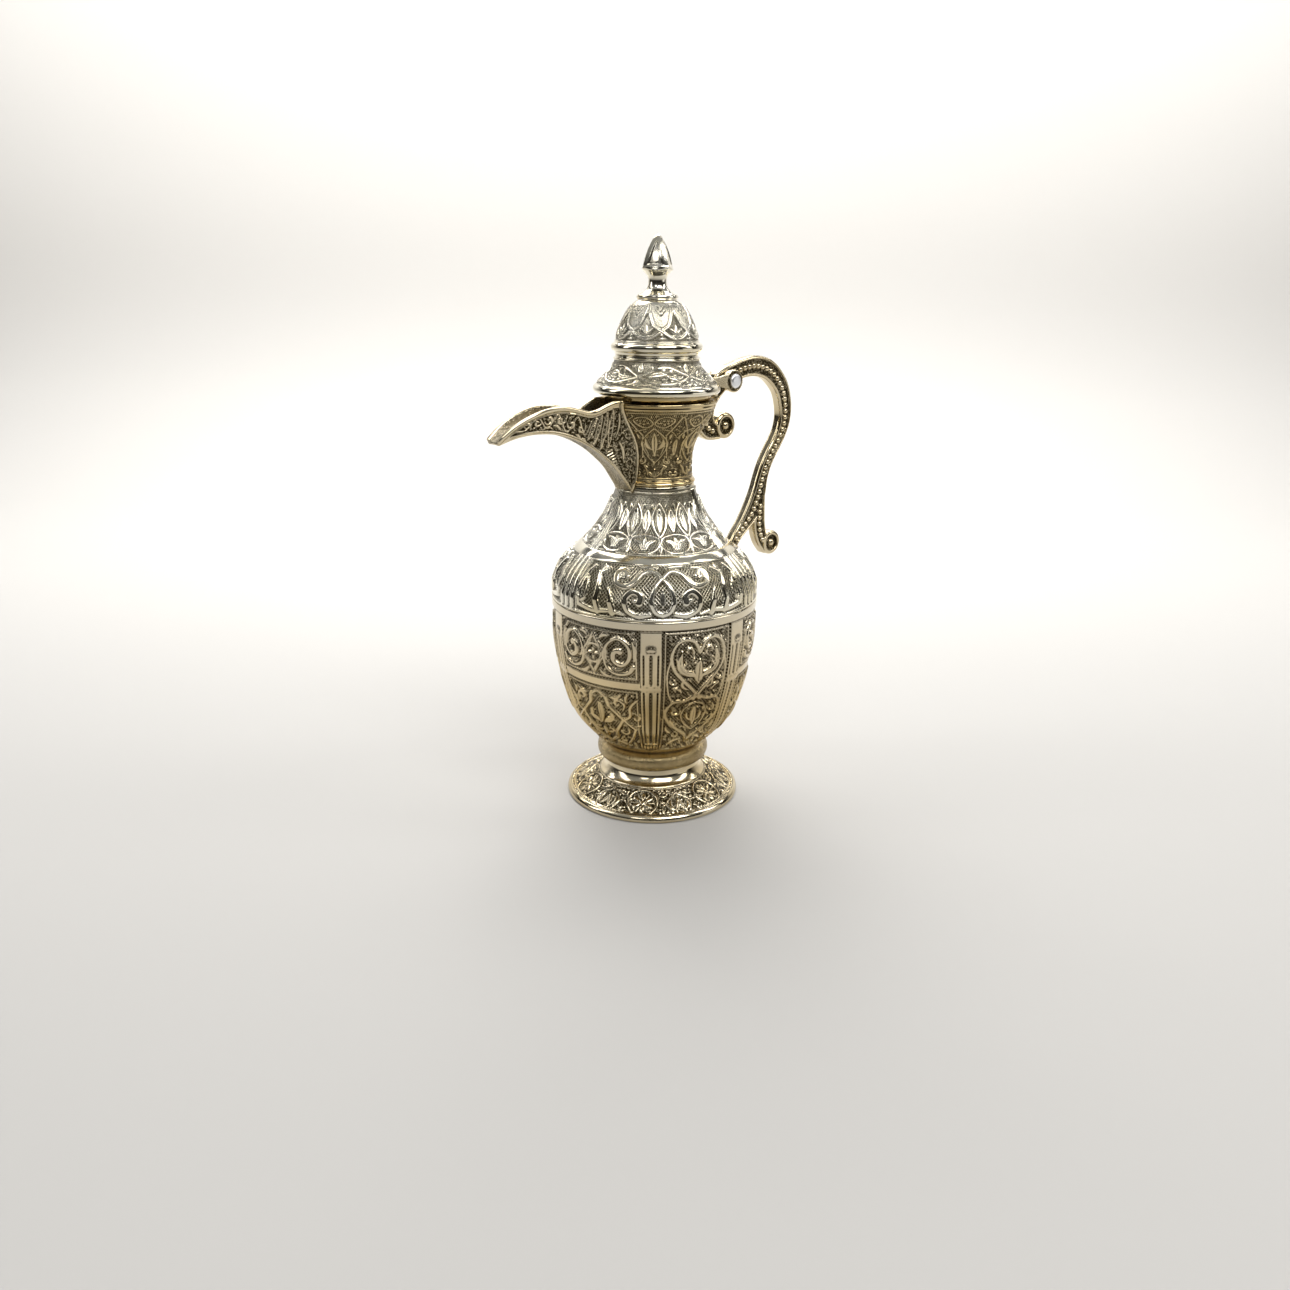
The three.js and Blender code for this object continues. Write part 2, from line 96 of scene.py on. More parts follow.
def to_segment(x, y, a, b):
    """How far each point is from the segment from a to b, and the share of it nearest."""
    dx, dy = b[0] - a[0], b[1] - a[1]
    share = np.clip(((x - a[0]) * dx + (y - a[1]) * dy) / (dx * dx + dy * dy + 1e-9), 0, 1)
    return np.hypot(x - a[0] - share * dx, y - a[1] - share * dy), share


def smooth(edge0, edge1, value):
    """A soft step from 0 to 1 between two edges, or from 1 to 0 if they are swapped."""
    t = np.clip((value - edge0) / (edge1 - edge0), 0, 1)
    return t * t * (3 - 2 * t)


# ---------------------------------------------------------------- meshes


def grid_faces(rows, columns, wrap_rows=True, wrap_columns=True):
    """Quads of a grid of vertices, row after row."""
    i = np.arange(rows if wrap_rows else rows - 1)[:, None]
    j = np.arange(columns if wrap_columns else columns - 1)[None]
    i2, j2 = (i + 1) % rows, (j + 1) % columns
    quads = [i * columns + j, i * columns + j2, i2 * columns + j2, i2 * columns + j]
    return np.stack([q + 0 * i + 0 * j for q in quads], -1).reshape(-1, 4)


def capped_tube(rows, columns):
    """Faces of a tube of vertex rings, with a face over each end."""
    last = (rows - 1) * columns
    faces = grid_faces(rows, columns, wrap_rows=False)[:, ::-1].tolist()
    return faces + [list(range(columns)), [last + k for k in reversed(range(columns))]]


def add_object(name, data):
    thing = bpy.data.objects.new(name, data)
    bpy.context.scene.collection.objects.link(thing)
    return thing


def add_mesh(name, verts, faces, material):
    """A smooth-shaded mesh in the scene."""
    mesh = bpy.data.meshes.new(name)
    mesh.from_pydata((np.asarray(verts) * MM).tolist(), [], [list(f) for f in faces])
    mesh.polygons.foreach_set("use_smooth", np.ones(len(mesh.polygons), bool))
    mesh.materials.append(material)
    return add_object(name, mesh)


def add_piece(name, body, verts, faces, metal, nodes=(), patina_and_shade=0.0):
    """A mesh that rides on a body and stands for CAD nodes."""
    piece = add_mesh(name, verts, faces, metal)
    layer = piece.data.attributes.new(PATINA_AND_SHADE_LAYER, "FLOAT", "POINT")
    layer.data.foreach_set("value", np.full(len(verts), patina_and_shade, np.float32))
    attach(piece, body)
    if nodes:
        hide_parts(*nodes)


class Skin:
    """The turned outside of a casting, as a height field over its profile.

    The profile is made of smooth runs of radius and Z. A sharp corner parts one run from the
    next, which starts where the last one ended.
    """

    def __init__(self, runs, columns, step):
        lines, corner = [], []
        for run in runs:
            lines.append(bend(corner + run))
            corner = run[-1:]
        line = np.vstack(lines)
        length = arc_length(line)
        keep = np.r_[True, np.diff(length) > 1e-6]
        line, length = line[keep], length[keep]
        rows = int(length[-1] / (step / FINENESS)) + 1
        self.s = np.linspace(0, length[-1], rows)
        self.r = np.interp(self.s, length, line[:, 0])
        self.z = np.interp(self.s, length, line[:, 1])
        slope_r, slope_z = np.gradient(self.r, self.s), np.gradient(self.z, self.s)
        size = np.hypot(slope_r, slope_z)
        self.nr, self.nz = slope_z / size, -slope_r / size
        self.columns = int(columns * FINENESS)
        self.height = np.zeros((rows, self.columns))
        self.patina_and_shade = np.zeros((rows, self.columns))

    def ring(self, z, half, height):
        """A half-round bead round the casting, or a groove if height is below 0."""
        bulge = np.sqrt(np.clip(1 - ((self.z - z) / half) ** 2, 0, 1))
        self.height += height * bulge[:, None]
        if height < 0:
            self.patina_and_shade = np.maximum(self.patina_and_shade, bulge[:, None])

    def build(self, name, body, inside, metal, nodes, shape=None, keep=None):
        """Closes the skin with its inside profile. shape bends the finished rings."""
        inner = np.asarray(inside, float)
        r = np.vstack([self.r[:, None] + self.height * self.nr[:, None],
                       np.repeat(inner[:, :1], self.columns, 1)])
        z = np.vstack([self.z[:, None] + self.height * self.nz[:, None],
                       np.repeat(inner[:, 1:], self.columns, 1)])
        angle = 2 * math.pi * np.arange(self.columns)[None] / self.columns
        if shape is not None:
            r = shape(r, z, angle)
        verts = np.stack([r * np.cos(angle), r * np.sin(angle), z], -1).reshape(-1, 3)
        faces = grid_faces(len(r), self.columns)
        # The inside of each casting is darkened to 0.35.
        patina_and_shade = np.vstack([self.patina_and_shade, np.full((len(inner), self.columns), 0.35)]).ravel()
        if keep is not None:
            faces = faces[keep(verts[faces].mean(1))]
            used, faces = np.unique(faces, return_inverse=True)
            verts, patina_and_shade, faces = verts[used], patina_and_shade[used], faces.reshape(-1, 4)
        add_piece(name, body, verts, faces, metal, nodes, patina_and_shade)


def running_mean(values, reach):
    """The mean over a square window that reaches so many samples each way."""
    span = 2 * reach + 1
    for axis in (0, 1):
        pad = [(0, 0), (0, 0)]
        pad[axis] = (reach + 1, reach)
        total = np.cumsum(np.pad(values, pad, "edge"), axis)
        last = total.shape[axis]
        ahead, behind = range(span, last), range(last - span)
        values = (np.take(total, ahead, axis) - np.take(total, behind, axis)) / span
    return values


class Panel:
    """A flat map of part of a surface, in millimetres, to draw relief on."""

    def __init__(self, x, y, depth):
        self.x, self.y = x, y
        self.depth = depth
        self.h = np.full(x.shape, -float(depth))

    def _ridge(self, points, half):
        """Where the stroke is, and its ridge there: 1 on its line, 0 at its edges."""
        p = np.asarray(points, float)
        w = np.broadcast_to(np.asarray(half, float), len(p))
        (x0, y0), (x1, y1) = p.min(0) - w.max(), p.max(0) + w.max()
        pick = np.nonzero((self.x > x0) & (self.x < x1) & (self.y > y0) & (self.y < y1))
        best = np.full(len(pick[0]), -1.0)
        for a, b, wa, wb in zip(p, p[1:], w, w[1:]):
            gap, share = to_segment(self.x[pick], self.y[pick], a, b)
            best = np.maximum(best, 1 - gap**2 / ((wa + (wb - wa) * share) ** 2 + 1e-6))
        return pick, np.clip(best, 0, 1)

    def line(self, points, half, height, flat=False):
        """A raised strap: half-round, or flat on top with soft edges."""
        pick, ridge = self._ridge(points, half)
        rise = np.sqrt(np.clip(ridge * 1.45, 0, 1) if flat else ridge)
        self.h[pick] = np.maximum(self.h[pick], -self.depth + rise * (height + self.depth))

    def cut(self, points, half, depth):
        """A groove cut into whatever is there."""
        pick, ridge = self._ridge(points, half)
        self.h[pick] -= depth * np.sqrt(ridge)

    def both(self, points, half, height, flat=False):
        """A strap and its mirror image."""
        for line in twins(points):
            self.line(line, half, height, flat)

    def inlay(self, points, half, height):
        """A flat strap and its mirror image, each with a fine groove along its middle."""
        self.both(points, half, height, flat=True)
        for line in twins(points):
            self.cut(line, 0.22, 0.18)

    def swell(self, knots, start, stop, height):
        """A flat strap through the knots and its mirror image, wider at one end."""
        line = bend(knots)
        self.both(line, np.linspace(start, stop, len(line)), height, flat=True)

    def levels(self, at, top, inset, half, height):
        """Two level lines right across the panel, just inside its foot and its top."""
        for rise in (inset, top - inset):
            self.line(at([-1, 1], [rise, rise]), half, height)

    def leaf(self, base, tip, half, height, sway=0.0, vein=0.0, pair=True, flat=False):
        """A pointed leaf, swayed to one side, and its mirror image unless it is in the middle."""
        base, tip = np.asarray(base, float), np.asarray(tip, float)
        t = np.linspace(0, 1, 13)
        side = np.array([-(tip - base)[1], (tip - base)[0]]) * sway
        spine = base + (tip - base) * t[:, None] + side * np.sin(math.pi * t)[:, None]
        width = half * np.sin(math.pi * np.clip(t * 0.94 + 0.03, 0, 1)) ** 0.75
        for points in twins(spine, pair and np.any(spine[:, 0])):
            self.line(points, width, height, flat)
            if vein:
                self.cut(points[2:-2], vein, 0.7 * vein)

    def leaves(self, *rows):
        """A row per leaf: X and Y of its base and of its tip, half width, height, sway, vein."""
        for x0, y0, x1, y1, *look in rows:
            self.leaf((x0, y0), (x1, y1), *look)

    def almond(self, base, tip, half, line, height, pair=True, flat=False):
        """The outline of a pointed oval."""
        base, tip = np.asarray(base, float), np.asarray(tip, float)
        t = np.linspace(0, 1, 15)
        across = np.array([-(tip - base)[1], (tip - base)[0]])
        across *= half / np.hypot(*across)
        for side in (-1, 1):
            bulge = side * across * (np.sin(math.pi * t) ** 0.85)[:, None]
            for edge in twins(base + (tip - base) * t[:, None] + bulge, pair):
                self.line(edge, line, height, flat)

    def comma(self, x, y, size, start, side=1, height=0.4, pair=True):
        """A fat curl that winds in from its rim, at the start angle, to its eye."""
        t = np.linspace(0, 1, 26)
        a = math.radians(start) + side * 2 * math.pi * 0.85 * t
        rho = size * (1 - 0.82 * t)
        spine = np.column_stack([x + rho * np.cos(a), y + rho * np.sin(a)])
        width = size * (0.1 + 0.2 * np.sin(math.pi * t))
        width[-1] = size * 0.3
        for points in twins(spine, pair):
            self.line(points, width, height)

    def dot(self, x, y, radius, height, pair=False):
        """A round boss."""
        for side in (-1, 1) if pair else (1,):
            self.line([(x * side, y), (x * side + 0.01, y)], radius, height)

    def patina_and_crevice_shade(self, peak):
        """How dark each point is: the patinated sunk ground a little, painted shade in the crevice
        at the foot of each ridge most.
        """
        level = (self.h + self.depth) / (peak + self.depth)
        ground = 1 - smooth(0.12, 0.72, level)
        reach = max(1, int(round(3 * FINENESS)))
        # Painted shade: points lower than their surroundings, at the foot of the ridges, are
        # darkened as though shaded.
        crevice_shade = (running_mean(self.h, reach) - self.h) / (0.3 * (peak + self.depth))
        return np.clip(0.92 * ground + 0.95 * np.clip(crevice_shade, 0, 1), 0, 1)

    def sprinkle(self, pitch, size, height, seed):
        """Small curls and leaflets wherever the ground is still bare."""
        chance = np.random.default_rng(seed)
        columns, rows = (np.arange(v.min() + 0.6 * pitch, v.max() - 0.4 * pitch, pitch)
                         for v in (self.x, self.y))
        for y in rows:
            for x in columns:
                shift_x, shift_y, start, side, kind = chance.uniform(-1, 1, 5)
                px, py = x + 0.3 * pitch * shift_x, y + 0.3 * pitch * shift_y
                near = (np.abs(self.x - px) < size * 0.9) & (np.abs(self.y - py) < size * 0.9)
                if not near.any() or (self.h[near] > -0.8 * self.depth).mean() > 0.12:
                    continue
                if kind > 0:
                    self.comma(px, py, size, 180 * start, 1 if side > 0 else -1, height, False)
                else:
                    way = size * direction(180 * start)
                    self.leaf((px, py) - way, (px, py) + way, 0.42 * size, height, 0.2, pair=False)


def draw_on(skin, low, high, centre, half, repeats, depth, draw, peak=0.3, boost=1.0):
    """Draws one repeat of a band and stamps it round the casting, boosted in height.

    The band lies between two heights. half is half the angle of a repeat, depth is how far
    its ground is sunk, and peak is the height of its polished parts. Where the band would
    stand proud of the pot's widest radius, it is sunk.
    """
    rows = np.nonzero((skin.z >= low) & (skin.z <= high))[0]
    span = int(round(half / 360 * skin.columns))
    cols = np.arange(-span, span)
    angle = (cols + 0.5) * 2 * math.pi / skin.columns
    up = skin.s[rows] - skin.s[rows[0]]
    panel = Panel(skin.r[rows][:, None] * angle[None], up[:, None] + 0 * angle[None], depth)
    half_angle = math.radians(half)

    def at(share, rise):
        """Points a share of the way to the panel's side, at those heights."""
        share, rise = np.broadcast_arrays(np.asarray(share, float), np.asarray(rise, float))
        return np.column_stack([share * half_angle * np.interp(rise, up, skin.r[rows]), rise])

    draw(panel, at, up[-1])
    patina_and_shade = panel.patina_and_crevice_shade(peak)
    panel.h *= boost
    panel.h -= np.clip(skin.r[rows][:, None] + panel.h.max() - BODY_RADIUS, 0, None)
    first = int(round(centre / 360 * skin.columns))
    for k in range(repeats):
        across = (first + cols + k * skin.columns // repeats) % skin.columns
        skin.height[np.ix_(rows, across)] = panel.h
        skin.patina_and_shade[np.ix_(rows, across)] = patina_and_shade


# ---------------------------------------------------------------- ornament


def draw_border(p, at, share, high, height, steps):
    """A fine line up both sides of a panel and across its top."""
    p.both(at(share, np.linspace(0.6, high, steps)), 0.4, height)
    p.both([(0, high), *at(share, [high])], 0.4, height)


def draw_cartouche(p, at, top):
    """Upper field of a wide bowl panel: a strapwork knot between two great scrolls."""
    side = at(0.93, [1.2, top - 4.2])
    notch = [(side[1][0] - 1.6, top - 3.2), (side[1][0] - 3.2, top - 1.2)]
    p.both([*side, *notch, (0, top - 1.2)], 0.4, 0.16)
    p.both([*at(0.93, [1.2]), (0, 1.2)], 0.4, 0.16)
    p.y -= 0.5 * top  # from here on heights are measured from the knot's middle
    lozenge, hoop = [(0, 7.6), (4.6, 0), (0, -7.6)], circle(0, 0, 3.7)
    p.both(lozenge, 0.8, 0.4, flat=True)
    p.line(hoop, 0.7, 0.4, flat=True)
    for line in (hoop, *twins(lozenge)):
        p.cut(line, 0.25, 0.2)
    for angle in range(0, 360, 90):
        p.leaf(0.3 * direction(angle), 2.9 * direction(angle), 0.75, 0.38, pair=False)
    p.swell([(4.4, 0.2), (6.6, 4.8), (10.6, 7.0), (14.6, 4.4), (15.0, -0.4), (12.0, -3.4),
             (8.8, -1.8), (9.0, 1.4), (11.2, 2.2)], 0.75, 1.2, 0.42)
    p.dot(11.3, 1.6, 1.35, 0.42, pair=True)
    p.swell([(4.4, -0.2), (6.0, -5.2), (10.0, -7.2), (14.4, -6.4), (16.2, -4.0)], 0.6, 1.15, 0.4)
    p.leaves((16.6, -2.0, 16.0, 7.0, 1.0, 0.4, -0.1, 0.25),
             (2.4, 5.8, 7.2, 7.6, 1.0, 0.38, 0.2, 0.25),
             (2.4, -5.8, 7.4, -8.2, 0.9, 0.38, -0.2, 0.25),
             (7.2, -3.0, 5.9, 1.8, 0.8, 0.34, 0.2), (12.6, -4.8, 7.6, -4.6, 0.6, 0.34, 0.2))
    p.sprinkle(2.3, 0.95, 0.28, 3)


def draw_medallion(p, at, top):
    """Lower field of a wide bowl panel: angular strap frames full of split palmettes."""
    draw_border(p, at, 0.93, top - 0.8, 0.16, 12)
    p.y -= 0.55 * top  # from here on heights are measured from the kite's middle
    p.inlay([(0, 13.6), (3.4, 11.4), (4.2, 7.4), (9.6, 1.6), (5.2, -5.0), (4.6, -8.6), (0, -13.0)],
            0.75, 0.42)
    p.leaves((0, -1.4, 0, 8.8, 1.5, 0.42, 0, 0.3), (0.8, -1.0, 4.6, 4.6, 1.2, 0.42, -0.3, 0.25),
             (0.8, -2.0, 6.8, 0.4, 0.9, 0.38, 0.3))
    p.comma(2.7, -4.4, 2.2, 200, 1, 0.4)
    p.leaf((0, -9.6), (0, -3.2), 1.1, 0.38)
    p.both(bend([(9.6, 1.6), (12.4, 3.4), (13.2, 7.6), (16.4, 11.6)]), 0.7, 0.4, flat=True)
    p.both([(9.6, 1.6), (13.6, -2.8), (11.0, -8.4), (8.0, -12.6)], 0.65, 0.4, flat=True)
    for curl_in in ((8.4, 8.8, 3.0, 300, 1, 0.42), (14.6, 3.0, 2.3, 120, -1, 0.4),
                    (8.6, -4.2, 2.4, 40, -1, 0.4), (6.8, -10.6, 1.7, 90, 1, 0.36)):
        p.comma(*curl_in)
    p.leaves((4.4, 12.0, 10.6, 13.4, 0.9, 0.38, -0.2, 0.2), (12.2, 9.4, 13.6, 14.0, 0.8, 0.36, 0.2),
             (13.4, -1.0, 16.8, 0.6, 0.8, 0.34, -0.2), (2.6, -12.4, 5.8, -16.0, 0.8, 0.34, 0.2))
    p.sprinkle(2.2, 0.9, 0.28, 5)


def draw_hearts(p, at, top):
    """Narrow bowl panel: two stacked hearts of strapwork with bold split palmettes."""
    draw_border(p, at, 0.92, top - 1.0, 0.12, 20)
    p.y -= top - 3.2  # heights are measured from the top of the upper heart
    heart = bend([(0, -5.6), (2.2, -1.6), (6.0, -0.2), (9.8, -2.4), (11.2, -7.2), (9.6, -12.6),
                  (5.6, -17.4), (2.0, -21.2), (-1.4, -25.4)])
    p.inlay(heart, 0.75, 0.42)
    p.both(heart * (0.82, 1) + (0, -0.9), 0.24, 0.18)
    p.leaves((0, -18.6, 0, -8.4, 1.9, 0.46, 0, 0.4), (1.2, -15.6, 7.2, -4.6, 1.7, 0.46, -0.28, 0.3))
    p.comma(4.6, -5.2, 2.4, 250, -1, 0.44)
    p.comma(7.0, -9.8, 1.9, 120, 1, 0.42)
    p.leaf((1.0, -17.6), (5.0, -13.0), 0.9, 0.4, 0.2)
    p.y += 23.4  # heights are measured from the top of the lower heart
    p.inlay(bend([(0, 0), (4.4, -2.4), (9.4, -3.0), (11.6, -7.6), (9.4, -12.6), (5.2, -16.4),
                  (1.4, -20.4), (0, -25.0)]), 0.72, 0.4)
    p.both(bend([(0, -3.6), (3.6, -5.2), (5.2, -9.0), (3.4, -13.4), (0, -16.6)]), 0.42, 0.36)
    p.leaves((0, -14.6, 0, -5.2, 1.4, 0.42, 0, 0.3), (0.4, -12.4, 2.9, -7.6, 0.7, 0.36, -0.2))
    p.comma(7.9, -7.0, 2.3, 160, 1, 0.42)
    p.leaf((9.2, -10.4), (5.6, -13.4), 0.8, 0.36, 0.3)
    p.both(bend([(11.2, 16.2), (12.4, 9.4), (11.4, 1.4), (9.4, -3.0)]), 0.45, 0.34)
    p.comma(9.6, 6.4, 2.0, 60, -1, 0.4)
    p.leaves((6.2, 1.0, 10.2, 3.4, 0.9, 0.36, 0.2), (3.4, 2.4, 6.0, 7.2, 0.8, 0.36, -0.3))
    p.comma(6.2, -19.4, 1.9, 80, 1, 0.36)
    p.leaves((2.4, -22.0, 6.4, -26.0, 0.8, 0.34, 0.2), (10.2, -14.0, 7.6, -18.0, 0.7, 0.34, 0.2))
    p.sprinkle(2.2, 0.9, 0.3, 7)


def draw_pilaster(p, at, top):
    """A polished tablet with a small oval boss, over two tiers of twin columns."""
    share = np.abs(p.x) / p.x.max(1, keepdims=True)
    p.h[:] = 0.25 * (1 - smooth(0.86, 0.99, share))
    knee, boss = top - 23.5, top - 7.2
    column = np.sqrt(np.clip(1 - ((share - 0.37) / 0.27) ** 2, 0, 1))
    for low, high, deep in ((knee + 1.6, top - 9.0, 0.75), (6.2, knee - 1.2, 0.85)):
        well = smooth(low, low + 0.7, p.y) * (1 - smooth(high - 0.7, high, p.y))
        p.h -= deep * well * (1 - smooth(0.72, 0.8, share))
        p.h += (deep + 0.1) * well * column
    p.line(circle(0, boss, 0.7) * (1.7, 1), 0.25, 0.75)
    p.line([(-0.9, boss), (0.9, boss)], 0.8, 0.65)
    p.line([(-5, knee), (5, knee)], 0.8, 0.42)
    p.depth = 0.1  # for the leaves at its foot, which stand on the polished ground
    p.h -= 0.3 * smooth(5.4, 4.8, p.y)
    for k in range(-2, 3):
        p.leaf((k * 1.1, 0.6), (k * 1.35, 4.6), 0.5, 0.3, pair=False)


def draw_bowl(skin):
    """Three pairs of wide panels and three narrow ones, parted by polished uprights."""
    low, knee, high = 26.6, (57.2, 60.4), 81.2
    wide, narrow, boost = -164.5, -104.5, 1.9
    draw_on(skin, knee[1], high, wide, 27, 3, 0.25, draw_cartouche, 0.35, boost)
    draw_on(skin, low, knee[0], wide, 27, 3, 0.25, draw_medallion, 0.35, boost)
    draw_on(skin, low, high, narrow, 21, 3, 0.28, draw_hearts, 0.4, boost)
    for centre in (narrow - 27, narrow + 27):
        draw_on(skin, low, high, centre, 6, 3, 0.0, draw_pilaster, 0.2)
    skin.ring(81.4, 0.35, -0.3)
    skin.ring(25.2, 0.4, 0.2)


def draw_strapwork(p, at, top):
    """Lower shoulder: broad polished straps round cells of crosshatched ground."""

    def lay(*points):
        """Places points that are drawn on a panel 34 mm to its side."""
        points = np.asarray(points, float)
        return at(points[:, 0] / 34, points[:, 1])

    def strap(points, start, stop, rise=0.75):
        p.swell(lay(*points), start, stop, rise)

    def boss(x, y, radius, rise):
        p.dot(*lay((x, y))[0], radius, rise, pair=True)

    p.both(at(0.985, np.linspace(0, top, 12)), 0.5, 0.3)
    strap([(0, 15.4), (2.8, 11.4), (4.0, 6.6), (2.5, 2.6), (0, 1.3)], 0.8, 1.15)
    p.leaf((0, 4.0), (0, 11.4), 0.9, 0.4, vein=0.25)
    strap([(0, 15.2), (3.4, 18.0), (7.6, 17.2), (10.4, 13.6), (13.6, 11.6), (17.2, 12.8),
           (17.8, 16.4), (15.4, 17.8), (13.9, 16.0)], 0.9, 1.45)
    boss(15.4, 15.2, 1.5, 0.75)
    strap([(4.4, 1.4), (8.6, 0.9), (12.4, 3.0), (13.2, 7.2), (10.6, 9.8), (7.9, 8.4), (8.2, 5.6)],
          1.0, 1.5)
    boss(9.9, 6.6, 0.9, 0.6)
    for x, tall in ((18.6, 9.4), (24.4, 15.4)):
        strap([(x - 1.0, 1.4), (x, 5.2), (x - 0.2, 0.6 * tall), (x + 0.9, tall)], 1.6, 0.9)
        boss(x + 1.1, tall + 0.6, 0.95, 0.7)
    strap([(13.4, 1.0), (18.6, 1.9), (25.0, 1.3), (31.6, 2.6)], 0.6, 1.4)
    strap([(21.4, 18.6), (24.6, 16.2), (24.0, 19.2)], 0.5, 0.8, 0.6)
    strap([(31.6, 2.4), (33.0, 8.0), (31.2, 14.6), (29.0, 18.6)], 1.1, 0.5)
    loop = lay((30.4, 13.6), (28.9, 9.4), (29.3, 5.4), (31.0, 4.2), (31.6, 7.6))
    p.both(bend(loop, closed=True), 0.6, 0.6, flat=True)
    p.leaf(*lay((1.4, top - 0.9), (10.0, top - 0.8)), 0.7, 0.5, 0.05)
    p.leaf(*lay((18.6, top - 1.4), (12.0, top - 0.9)), 0.6, 0.5, 0.05)


def draw_ribs(p, at, top):
    """Upright ribs that part one shoulder panel from the next."""
    rise = np.linspace(0, top, 14)
    for share in (-0.66, 0.0, 0.66):
        p.line(at(share, rise), at(0.26, rise)[:, 0], 0.34)


def draw_blossoms(p, at, top):
    """Upper shoulder: round blossoms below, broad leaves and tall framed leaves above."""
    p.both(bend([(0, 8.7), (2.6, 8.3), (4.9, 7.0), (5.6, 4.8), (4.7, 2.5), (2.6, 1.1), (0, 0.7)]),
           0.5, 0.5, flat=True)
    p.leaf((0, 2.2), (0, 7.6), 1.2, 0.42, vein=0.22, flat=True)
    p.leaf((0.8, 2.2), (4.2, 6.4), 1.2, 0.42, 0.28, vein=0.2, flat=True)
    base, tip = at(1.0, [7.6, 21.0])
    p.almond(base, tip, 2.7, 0.5, 0.55, flat=True)
    p.leaf(base + (0, 1.6), tip - (0, 2.0), 1.7, 0.48, vein=0.3, flat=True)
    p.leaf(*at(1.0, [0.8, 5.8]), 0.9, 0.42)
    p.leaf((0, 9.6), (0, 18.6), 1.9, 0.48, vein=0.3, flat=True)
    p.leaf(*at([0.42, 0.34], [18.0, 21.0]), 0.7, 0.4)
    p.levels(at, top, 0.35, 0.3, 0.3)


def draw_shoulder(skin):
    """Three panels of straps below and blossoms above, with ribs between the panels."""
    lower, upper = (86.2, 103.9), (106.9, 128.2)
    middle, blossom_half = -125.5, 13.75
    draw_on(skin, *lower, middle, 52.5, 3, 0.28, draw_strapwork, 0.6)
    for step in (-3, -1, 1, 3):
        centre = middle + step * blossom_half
        draw_on(skin, *upper, centre, blossom_half, 3, 0.25, draw_blossoms, 0.42)
    draw_on(skin, *lower, middle - 60, 7.5, 3, 0.25, draw_ribs)
    draw_on(skin, *upper, middle - 60, 5.0, 3, 0.25, draw_ribs)
    skin.ring(105.3, 1.45, 0.45)
    skin.ring(128.6, 0.3, -0.2)


def draw_neck(p, at, top):
    """Engraved neck: paired leaf loops above an ogee lozenge and blossoms."""
    p.levels(at, top, 0.5, 0.3, 0.12)
    p.both(bend([(0.4, top - 5.0), (2.2, top - 2.4), (5.4, top - 1.9), (7.8, top - 3.4),
                 (5.8, top - 5.6), (3.0, top - 6.6)], closed=True), 0.34, 0.2)
    for x, y in ((2.4, 4.6), (3.7, 3.6), (3.9, 5.2), (5.2, 3.6), (5.3, 4.8), (6.5, 3.6)):
        p.dot(x, top - y, 0.5, 0.16, pair=True)
    ogee = bend([(0, top - 7.0), (2.6, top - 9.8), (5.0, top - 14.0), (2.8, top - 18.4),
                 (0, top - 21.6)])
    p.both(ogee, 0.3, 0.18)
    p.both(ogee * (0.78, 1), 0.2, 0.1)
    p.leaf((0, top - 18.6), (0, top - 9.4), 1.2, 0.2, vein=0.25)
    p.leaf((0.4, top - 16.6), (3.4, top - 12.0), 0.8, 0.18, -0.2)
    p.both([*at(0.98, [top - 2.0]), (4.4, top - 10.4), *at(0.62, [top - 19.6])], 0.26, 0.16)
    p.both(bend([(3.0, top - 7.4), (6.6, top - 8.6), *at(0.98, [top - 11.5])]), 0.26, 0.16)
    p.leaf(*at(0.98, [top - 18.6, top - 12.4]), 1.0, 0.18, vein=0.2)
    p.leaf((5.6, top - 12.2), (6.8, top - 9.6), 0.5, 0.16)
    p.comma(5.0, top - 20.6, 1.9, 100, 1, 0.2)
    p.leaves((2.6, 2.0, 4.2, 5.6, 0.7, 0.18, 0.2), (0, 1.2, 0, 4.2, 0.9, 0.2),
             (0.6, 1.4, 2.4, 3.2, 0.5, 0.16))
    p.comma(6.4, 2.6, 1.3, 0, -1, 0.16)
    p.sprinkle(1.7, 0.7, 0.14, 13)


def draw_rosettes(p, at, top):
    """Foot: six-petalled rosettes in rings, and palmette lozenges between them."""
    c = top * 0.5
    middle = at(1.0, [c])[0][0]
    p.line(circle(0, c, min(c - 0.8, 6.0)), 0.45, 0.3)
    for angle in range(30, 390, 60):
        petal, bar = direction(angle), direction(angle + 30)
        p.leaf(petal * 1.2 + (0, c), petal * 4.4 + (0, c), 0.95, 0.34, pair=False)
        p.line([bar * 2.4 + (0, c), bar * 4.7 + (0, c)], 0.25, 0.1)
    p.dot(0, c, 1.1, 0.36)
    p.cut([(0, c), (0.01, c)], 0.5, 0.2)
    p.both(bend([(middle, top - 0.9), (middle - 2.2, top - 3.4), (middle - 4.8, c),
                 (middle - 2.4, 3.2), (middle, 0.8)]), 0.4, 0.28)
    p.leaf((middle, 2.6), (middle, top - 3.0), 1.2, 0.34, vein=0.3)
    p.leaf((middle - 0.6, 3.2), (middle - 3.2, c + 1.2), 0.8, 0.3, 0.2)
    p.comma(middle - 6.6, top - 3.0, 1.7, 200, 1, 0.3)
    p.comma(middle - 6.8, 2.6, 1.7, 120, -1, 0.3)
    p.leaf((middle - 5.4, c), (middle - 7.8, c), 0.5, 0.24)
    p.sprinkle(1.7, 0.7, 0.24, 17)
    p.levels(at, top, 0.3, 0.25, 0.12)


